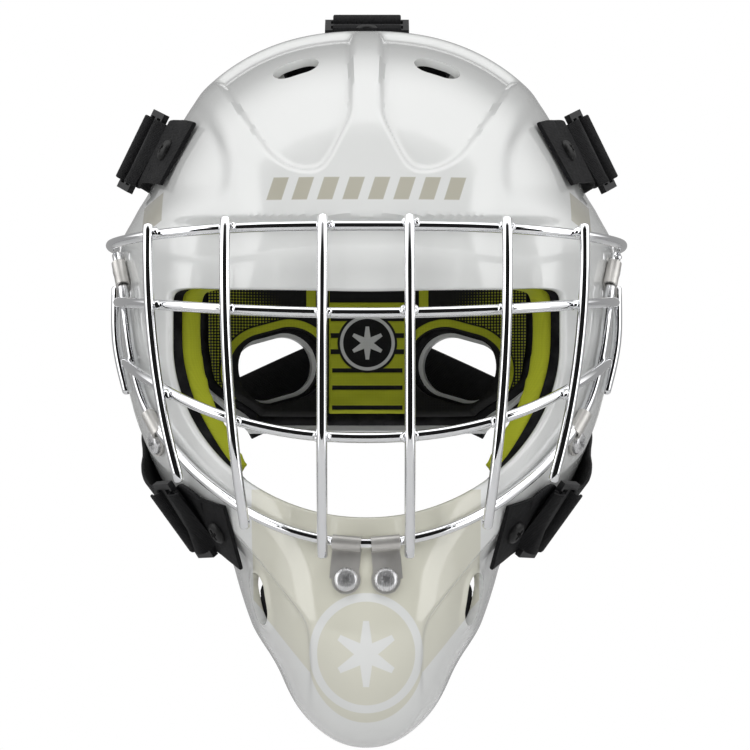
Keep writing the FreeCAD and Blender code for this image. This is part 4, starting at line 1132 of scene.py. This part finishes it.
def make_welds(material):
    """A bead either side of each crossing of two cage wires."""
    names = [n for n in NODES if n.startswith("cage_") and n != "cage_screws"]
    clouds = {n: cad_points(n) for n in names}
    rng = np.random.default_rng(5)
    blobs = []
    for i, a in enumerate(names):
        for b in names[i + 1:]:
            lo = np.maximum(clouds[a].min(0), clouds[b].min(0)) - 3
            hi = np.minimum(clouds[a].max(0), clouds[b].max(0)) + 3
            pa = clouds[a][np.all((clouds[a] > lo) & (clouds[a] < hi), axis=1)]
            pb = clouds[b][np.all((clouds[b] > lo) & (clouds[b] < hi), axis=1)]
            if not len(pa) or not len(pb):
                continue
            gaps = np.linalg.norm(pa[:, None] - pb[None], axis=-1)
            near = np.unravel_index(np.argmin(gaps), gaps.shape)
            if gaps[near] > 1.6:
                continue
            at = (pa[near[0]] + pb[near[1]]) / 2
            run, cross = wire_direction(clouds[a], at), wire_direction(clouds[b], at)
            for s in (-1, 1):
                blobs.append((at + run * s * 2.5, run, cross))
    points, faces, start = [], [], 0
    n = 14
    for at, run, cross in blobs:
        u, v = np.meshgrid(np.linspace(0, math.pi, n), np.linspace(0, 2 * math.pi, n, endpoint=False), indexing="ij")
        ball = pack(np.sin(u) * np.cos(v), np.sin(u) * np.sin(v), np.cos(u))
        ball = ball * (1 + 0.14 * np.sin(3 * v + rng.uniform(0, 6)) * np.sin(2 * u + rng.uniform(0, 6)))[..., None]
        out = unit(np.cross(run, cross))
        size = rng.uniform(0.9, 1.15)
        blob = at + (ball[..., :1] * run * 1.7 + ball[..., 1:2] * cross * 2.3 + ball[..., 2:] * out * 1.9) * size
        points.append(blob.reshape(-1, 3))
        faces += grid_faces(n, n, close_columns=True, start=start)
        start += n * n
    o = new_object("weld_beads", np.concatenate(points), faces)
    o.data.materials.append(material)
    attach(o, MASK)


# ---------------------------------------------------------------- padding


def plate_half_width(z):
    return mix(99.0, 40.0, step(z, 50.0, PLATE_TOP)) - 28.0 * step(-z, 12.0, -PLATE_BOTTOM)


def vent_site(side, lift=0.0):
    """Centre, long axis, short axis and outward normal of a vent in the back plate."""
    d = back_direction(side * 55.0, -6.0)
    n = normal(d)
    x = np.array([1.0, 0.0, side * -0.28])
    x = unit(x - n * np.dot(x, n))
    return form(d) + n * lift, x, np.cross(n, x), n


def vent_distance(p, grow):
    """How far points are outside the nearer vent, grown by grow all round."""
    distances = []
    for side in (-1, 1):
        at, x, y, _ = vent_site(side)
        u, v = np.abs((p - at) @ x), (p - at) @ y
        run = (VENT[0] - VENT[1]) / 2
        distances.append(np.hypot(np.maximum(u - run, 0), v) - VENT[1] / 2 - grow)
    return np.minimum(*distances)


def vent_punches(grow):
    punches = []
    for side in (-1, 1):
        at, x, _, n = vent_site(side)
        punches.append(stadium_cutter(f"punch{side}", at, x, n, VENT[0] + 2 * grow, VENT[1] + 2 * grow, 45.0))
    return punches


def puff(o, voxel, cap, pressure=4.0):
    """Swells a pad by a short cloth simulation, in which no point moves further than cap millimetres."""
    remesh = o.modifiers.new("remesh", "REMESH")
    remesh.mode, remesh.voxel_size = "VOXEL", voxel / 1000.0
    apply_modifiers(o)
    start = vertex_array(o)
    cloth = o.modifiers.new("cloth", "CLOTH").settings
    cloth.use_pressure, cloth.uniform_pressure_force = True, pressure
    cloth.effector_weights.gravity = 0.0
    for frame_number in range(1, 21):
        bpy.context.scene.frame_set(frame_number)
    apply_modifiers(o)
    bpy.context.scene.frame_set(1)
    moved = vertex_array(o) - start
    length = np.linalg.norm(moved, axis=1, keepdims=True)
    moved = moved * np.minimum(1.0, cap / 1000.0 / np.maximum(length, 1e-9))
    o.data.vertices.foreach_set("co", (start + moved).ravel())
    o.modifiers.new("fine", "SUBSURF").levels = 1
    apply_modifiers(o)
    return smooth_by_angle(o, 70.0)


def vertex_array(o):
    co = np.empty(len(o.data.vertices) * 3)
    o.data.vertices.foreach_get("co", co)
    return co.reshape(-1, 3)


def cheek_ways(side, last_angle):
    def ways(a, b):
        angle = np.radians(mix(69.0, last_angle, (a + 1) / 2))
        return shell_direction(side * angle, mix(0.03, 0.40, (b + 1) / 2))

    return ways


def add_pad(o, node, material, slot, body=MASK, fill=0.8):
    o.data.materials.clear()
    o.data.materials.append(material)
    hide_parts(node)
    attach(o, body)


def back_ways(half_at, top, bottom):
    def ways(a, b):
        z = mix(top, bottom, (b + 1) / 2)
        return back_direction(a * half_at(z), z)

    return ways


def wing_ways(side):
    def ways(a, b):
        z = mix(96.0, -38.0, (b + 1) / 2)
        return back_direction(side * mix(CENTRE_PAD_HALF + 1.5, plate_half_width(z) - 2.5, (a + 1) / 2), z)

    return ways


def make_back_pads(foam, green, mesh):
    gap = PLATE_GAP + PLATE_SHEET + GLUE_LINE
    ways = back_ways(lambda z: plate_half_width(z) - 2.0, 122.0, -40.0)
    base = pillow("back_foam_sheet", ways, (180, 160), gap, BASE_FOAM, 2.5, corners=0.0, followed=False,
                  hole=lambda p: vent_distance(p, 0.5), n=60 * FINE)
    add_pad(cut(base, vent_punches(0.5)), "back_foam", foam, "foam_black", PLATE, 0.9)
    gap += BASE_FOAM + GLUE_LINE
    for side, hand in ((-1, "left"), (1, "right")):
        wing = pillow(f"wing_pad_{hand}", wing_ways(side), (64, 134), gap, FACE_PAD, 3.0, corners=0.01,
                      followed=False, hole=lambda p: vent_distance(p, 2.0), n=60 * FINE)
        add_pad(cut(wing, vent_punches(2.0)), f"back_pad_{hand}", mesh, "pad_mesh", PLATE, 0.8)
    ways = back_ways(lambda z: CENTRE_PAD_HALF - 0.6 + 0 * z, 111.0, -36.0)
    centre = pillow("centre_pad", ways, (54, 148), gap + 0.3, FACE_PAD - 0.6, 3.5, corners=0.0, followed=False)
    add_pad(puff(centre, 2.0, 0.5), "back_pad_centre", green, "pad_green", PLATE, 0.8)


def make_sling(webbing, cup_material):
    """A moulded cup with a rolled rim and slots, on two lengths of webbing."""
    for side, hand in ((-1, "left"), (1, "right")):
        start = CUP_CENTRE + np.array([side * (CUP_RADII[0] * 0.83 + 1.4), 4.0, -9.0])
        end = np.array([side * CHIN_PIVOT[0], CHIN_PIVOT[1], CHIN_PIVOT[2]])
        ahead = unit(end - start)
        down = np.array([0.0, 0.5, -1.0])
        across = unit(down - ahead * np.dot(ahead, down))
        path = start + (end - start) * np.linspace(0, 1, 24)[:, None]
        strap = ribbon(f"webbing_chin_{hand}", path, np.repeat(across[None], 24, 0), 16.0, STRAP_SHEET)
        strap.data.materials.append(webbing)
        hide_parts(f"chin_strap_{hand}")
        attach(strap, SLING)
    give(cup_material, "chin_cup")
    soften(0.0009, "chin_cup")


def make_padding(foam, green):
    add = add_pad
    deep = SHELL + PAD_CLEARANCE + SCOOP_DEPTH
    for side, hand in ((-1, "left"), (1, "right")):
        gap = SHELL + PAD_CLEARANCE
        o = pillow(f"cheek_foam_pad_{hand}", cheek_ways(side, 141.0), (158, 70), gap, CHEEK_FOAM, 1.6,
                   corners=0.02)
        add(o, f"cheek_foam_{hand}", foam, "foam_black", fill=0.9)
        o = pillow(f"cheek_liner_pad_{hand}", cheek_ways(side, 128.0), (130, 66), gap + CHEEK_FOAM + GLUE_LINE,
                   CHEEK_LINER, 2.2, crown=0.6, corners=0.02)
        puff(o, 2.5, 0.6)
        add(o, f"cheek_liner_{hand}", green, "pad_green", fill=0.8)

        def temple(a, b, side=side):
            return side_direction(mix(-52.0, 30.0, (a + 1) / 2), mix(100.0, 46.0, (b + 1) / 2), side)

        o = pillow(f"temple_foam_{hand}", temple, (84, 56), deep, 9.0, 4.0, crown=1.5, seams=[(0, 0.0, 1.2)])
        add(o, f"temple_pad_{hand}", foam, "foam_black", fill=0.8)

        def jaw(a, b, side=side):
            angle = np.radians(mix(143.0, 158.0, (a + 1) / 2))
            return shell_direction(side * angle, mix(0.42, 0.90, (b + 1) / 2))

        o = pillow(f"jaw_foam_{hand}", jaw, (34, 60), gap, 10.0, 4.0, crown=1.0)
        add(o, f"jaw_pad_{hand}", foam, "foam_black", fill=0.8)

    def brow(a, b):
        return front_direction(a * 84.0, mix(102.0, 74.0, (b + 1) / 2))

    o = pillow("sweatband_pad", brow, (190, 30), deep, 9.0, 4.0, crown=1.0, corners=0.04, seams=[(1, 0.0, 1.0)])
    add(o, "sweatband", foam, "foam_black", fill=0.8)

    def crown(a, b):
        return top_direction(a * 46.0, mix(-44.0, 40.0, (b + 1) / 2))

    o = pillow("crown_foam", crown, (92, 86), deep, 11.0, 5.0, crown=1.0, seams=[(0, -0.33, 1.5), (0, 0.33, 1.5)])
    add(o, "crown_pad", foam, "foam_black", fill=0.8)


# ---------------------------------------------------------------- scene


def give(material, *names):
    """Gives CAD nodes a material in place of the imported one."""
    for name in names:
        mesh = NODES[name].data
        mesh.materials.clear()
        mesh.materials.append(material)


def soften(width, *names):
    """Rounds the edges of CAD nodes with a bevel."""
    for name in names:
        m = NODES[name].modifiers.new("edges", "BEVEL")
        m.width, m.segments, m.limit_method, m.angle_limit = width, 2, "ANGLE", math.radians(40)


def area_light(name, at, towards, size, power, color=(1, 1, 1)):
    data = bpy.data.lights.new(name, "AREA")
    data.shape, data.size, data.size_y = "RECTANGLE", size[0], size[1]
    data.energy, data.color = power, color
    o = bpy.data.objects.new(name, data)
    bpy.context.scene.collection.objects.link(o)
    o.location = at
    o.rotation_euler = (Vector(towards) - Vector(at)).to_track_quat("-Z", "Y").to_euler()
    o.visible_glossy = False
    return o


def set_stage():
    floor = new_object("floor", [(-2000, -1900, -520), (2000, -1900, -520), (2000, 2000, -520), (-2000, 2000, -520)],
                       [[0, 1, 2, 3]])
    s = Shade("floor_paper", (0.9, 0.9, 0.9), 0.9)
    s.set("Roughness", s.vary(0.85, 0.95, s.noise(3.0)))
    floor.data.materials.append(s.material)
    area_light("soft_left", (-1.5, -1.2, 0.6), (0, 0, 0), (0.5, 1.4), 8.5)
    area_light("soft_right", (1.5, -1.2, 0.6), (0, 0, 0), (0.5, 1.4), 8.5)
    area_light("soft_top", (0, -1.1, 1.4), (0, 0, 0), (1.4, 0.9), 9.0)
    area_light("soft_front", (0, -2.3, -0.5), (0, 0, 0), (1.2, 1.2), 14.0)
    area_light("soft_back", (0, 1.6, 0.6), (0, 0.1, 0), (1.8, 1.2), 7.0)
    set_world()


# Strengths of what is mirrored, and of the even light on diffuse surfaces.
CEILING_LIGHT, STRIP_LIGHT, TABLE_LIGHT, FILL_LIGHT = 2.1, 2.2, 0.7, 0.25


def set_world():
    """White behind the object. Reflections see a dark camera side, a ceiling light, two strips and a table."""
    world = bpy.data.worlds.new("studio")
    bpy.context.scene.world = world
    world.use_nodes = True
    tree = world.node_tree
    tree.nodes.clear()

    def node(kind, **props):
        n = tree.nodes.new(kind)
        for key, value in props.items():
            setattr(n, key, value)
        return n

    def background(strength):
        n = node("ShaderNodeBackground")
        n.inputs[0].default_value = (1, 1, 1, 1)
        if isinstance(strength, bpy.types.NodeSocket):
            tree.links.new(strength, n.inputs[1])
        else:
            n.inputs[1].default_value = strength
        return n.outputs[0]

    def ramp(value, *limits):
        n = node("ShaderNodeMapRange", interpolation_type="SMOOTHSTEP")
        tree.links.new(value, n.inputs[0])
        for socket, limit in zip(n.inputs[1:5], limits):
            socket.default_value = limit
        return n.outputs[0]

    def math_node(operation, *values):
        n = node("ShaderNodeMath", operation=operation)
        for socket, value in zip(n.inputs, values):
            if isinstance(value, bpy.types.NodeSocket):
                tree.links.new(value, socket)
            else:
                socket.default_value = value
        return n.outputs[0]

    def switch(factor, off, on):
        n = node("ShaderNodeMixShader")
        for socket, value in zip(n.inputs, (factor, off, on)):
            tree.links.new(value, socket)
        return n.outputs[0]

    split = node("ShaderNodeSeparateXYZ")
    tree.links.new(node("ShaderNodeTexCoord").outputs["Generated"], split.inputs[0])
    across = math_node("ABSOLUTE", split.outputs[0])
    y, z = split.outputs[1], split.outputs[2]
    low = math_node("MULTIPLY", ramp(z, -0.45, -0.7, 0.0, 1.0), ramp(across, 0.5, 0.25, 0.0, 1.0))
    dark = math_node("MAXIMUM", ramp(y, -0.3, -0.5, 0.0, 1.0), low)
    bright = math_node("MULTIPLY", ramp(y, -0.1, 0.3, 0.98, 0.34), math_node("SUBTRACT", 1.0, dark))
    table = ramp(z, -0.86, -0.96, 0.012, TABLE_LIGHT)
    ceiling = math_node("MULTIPLY", ramp(z, 0.2, 0.32, 0.0, 1.0), ramp(y, -0.36, -0.3, 0.0, 1.0))
    ceiling = math_node("MULTIPLY", ceiling, ramp(y, 0.1, 0.75, CEILING_LIGHT, 0.3))
    strip = math_node("MULTIPLY", ramp(y, -0.6, -0.56, 0.0, 1.0), ramp(y, -0.2, -0.24, 0.0, 1.0))
    strip = math_node("MULTIPLY", strip, ramp(across, 0.6, 0.66, 0.0, STRIP_LIGHT))
    mirrored = math_node("MAXIMUM", math_node("MAXIMUM", bright, table), math_node("MAXIMUM", ceiling, strip))
    mirrored = background(mirrored)
    fill = background(FILL_LIGHT)
    rays = node("ShaderNodeLightPath").outputs
    sky = switch(rays["Is Glossy Ray"], fill, mirrored)
    sky = switch(rays["Is Camera Ray"], sky, background(1.0))
    tree.links.new(sky, node("ShaderNodeOutputWorld").inputs[0])


def set_camera():
    """Level with the eye opening, 1.5 m in front of the cage, and framed close."""
    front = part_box("cage_brow_bar")[0].y
    data = bpy.data.cameras.new("camera")
    data.lens, data.sensor_width = 162.0, 36.0
    camera = bpy.data.objects.new("camera", data)
    bpy.context.scene.collection.objects.link(camera)
    camera.location = (0.004, front - 1.497, -0.008)
    camera.rotation_euler = (math.radians(90), 0, 0)
    bpy.context.scene.camera = camera
    scene = bpy.context.scene
    scene.view_settings.view_transform = "Standard"


def build():
    chrome, webbing, foam = chrome_material(), webbing_material(), foam_material()
    shell = make_shell()
    shell.data.materials.append(shell_material())
    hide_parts("mask_shell")
    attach(shell, MASK)

    make_cage(chrome)
    clips = [n for n in NODES if n.startswith("clip_")]
    give(steel_material("clip_sheet", (0.66, 0.645, 0.62), 0.34, (500.0, 60.0), 0.6), *clips)
    soften(0.0003, *clips)
    buckles = [n for n in NODES if n.startswith("buckle_")]
    give(plastic_material("buckle_plastic", BLACK, 0.34), *buckles)
    soften(0.0007, *buckles)
    give(steel_material("zinc", (0.6, 0.6, 0.58), 0.3), "t_nuts")
    give(steel_material("nickel", (0.55, 0.55, 0.56), 0.22), "strap_rivets", "chin_snaps")
    give(plastic_material("plate_plastic", (0.72, 0.73, 0.73), 0.3), "back_plate")

    head = pan_head("pan_head")
    make_screws(head, "cage_screws", "cage_screw_heads", steel_material("polished_screw", (0.74, 0.74, 0.75), 0.24))
    make_screws(head, "tab_screws", "tab_screw_heads", plastic_material("black_oxide", (0.008, 0.008, 0.008), 0.45))
    bpy.data.objects.remove(head, do_unlink=True)
    make_welds(chrome)
    make_webbing(webbing)
    make_sling(webbing, plastic_material("cup_plastic", (0.02, 0.02, 0.021), 0.4))
    make_padding(foam, green_material())
    make_back_pads(foam, centre_pad_material(), wing_material())


build()
set_stage()
set_camera()
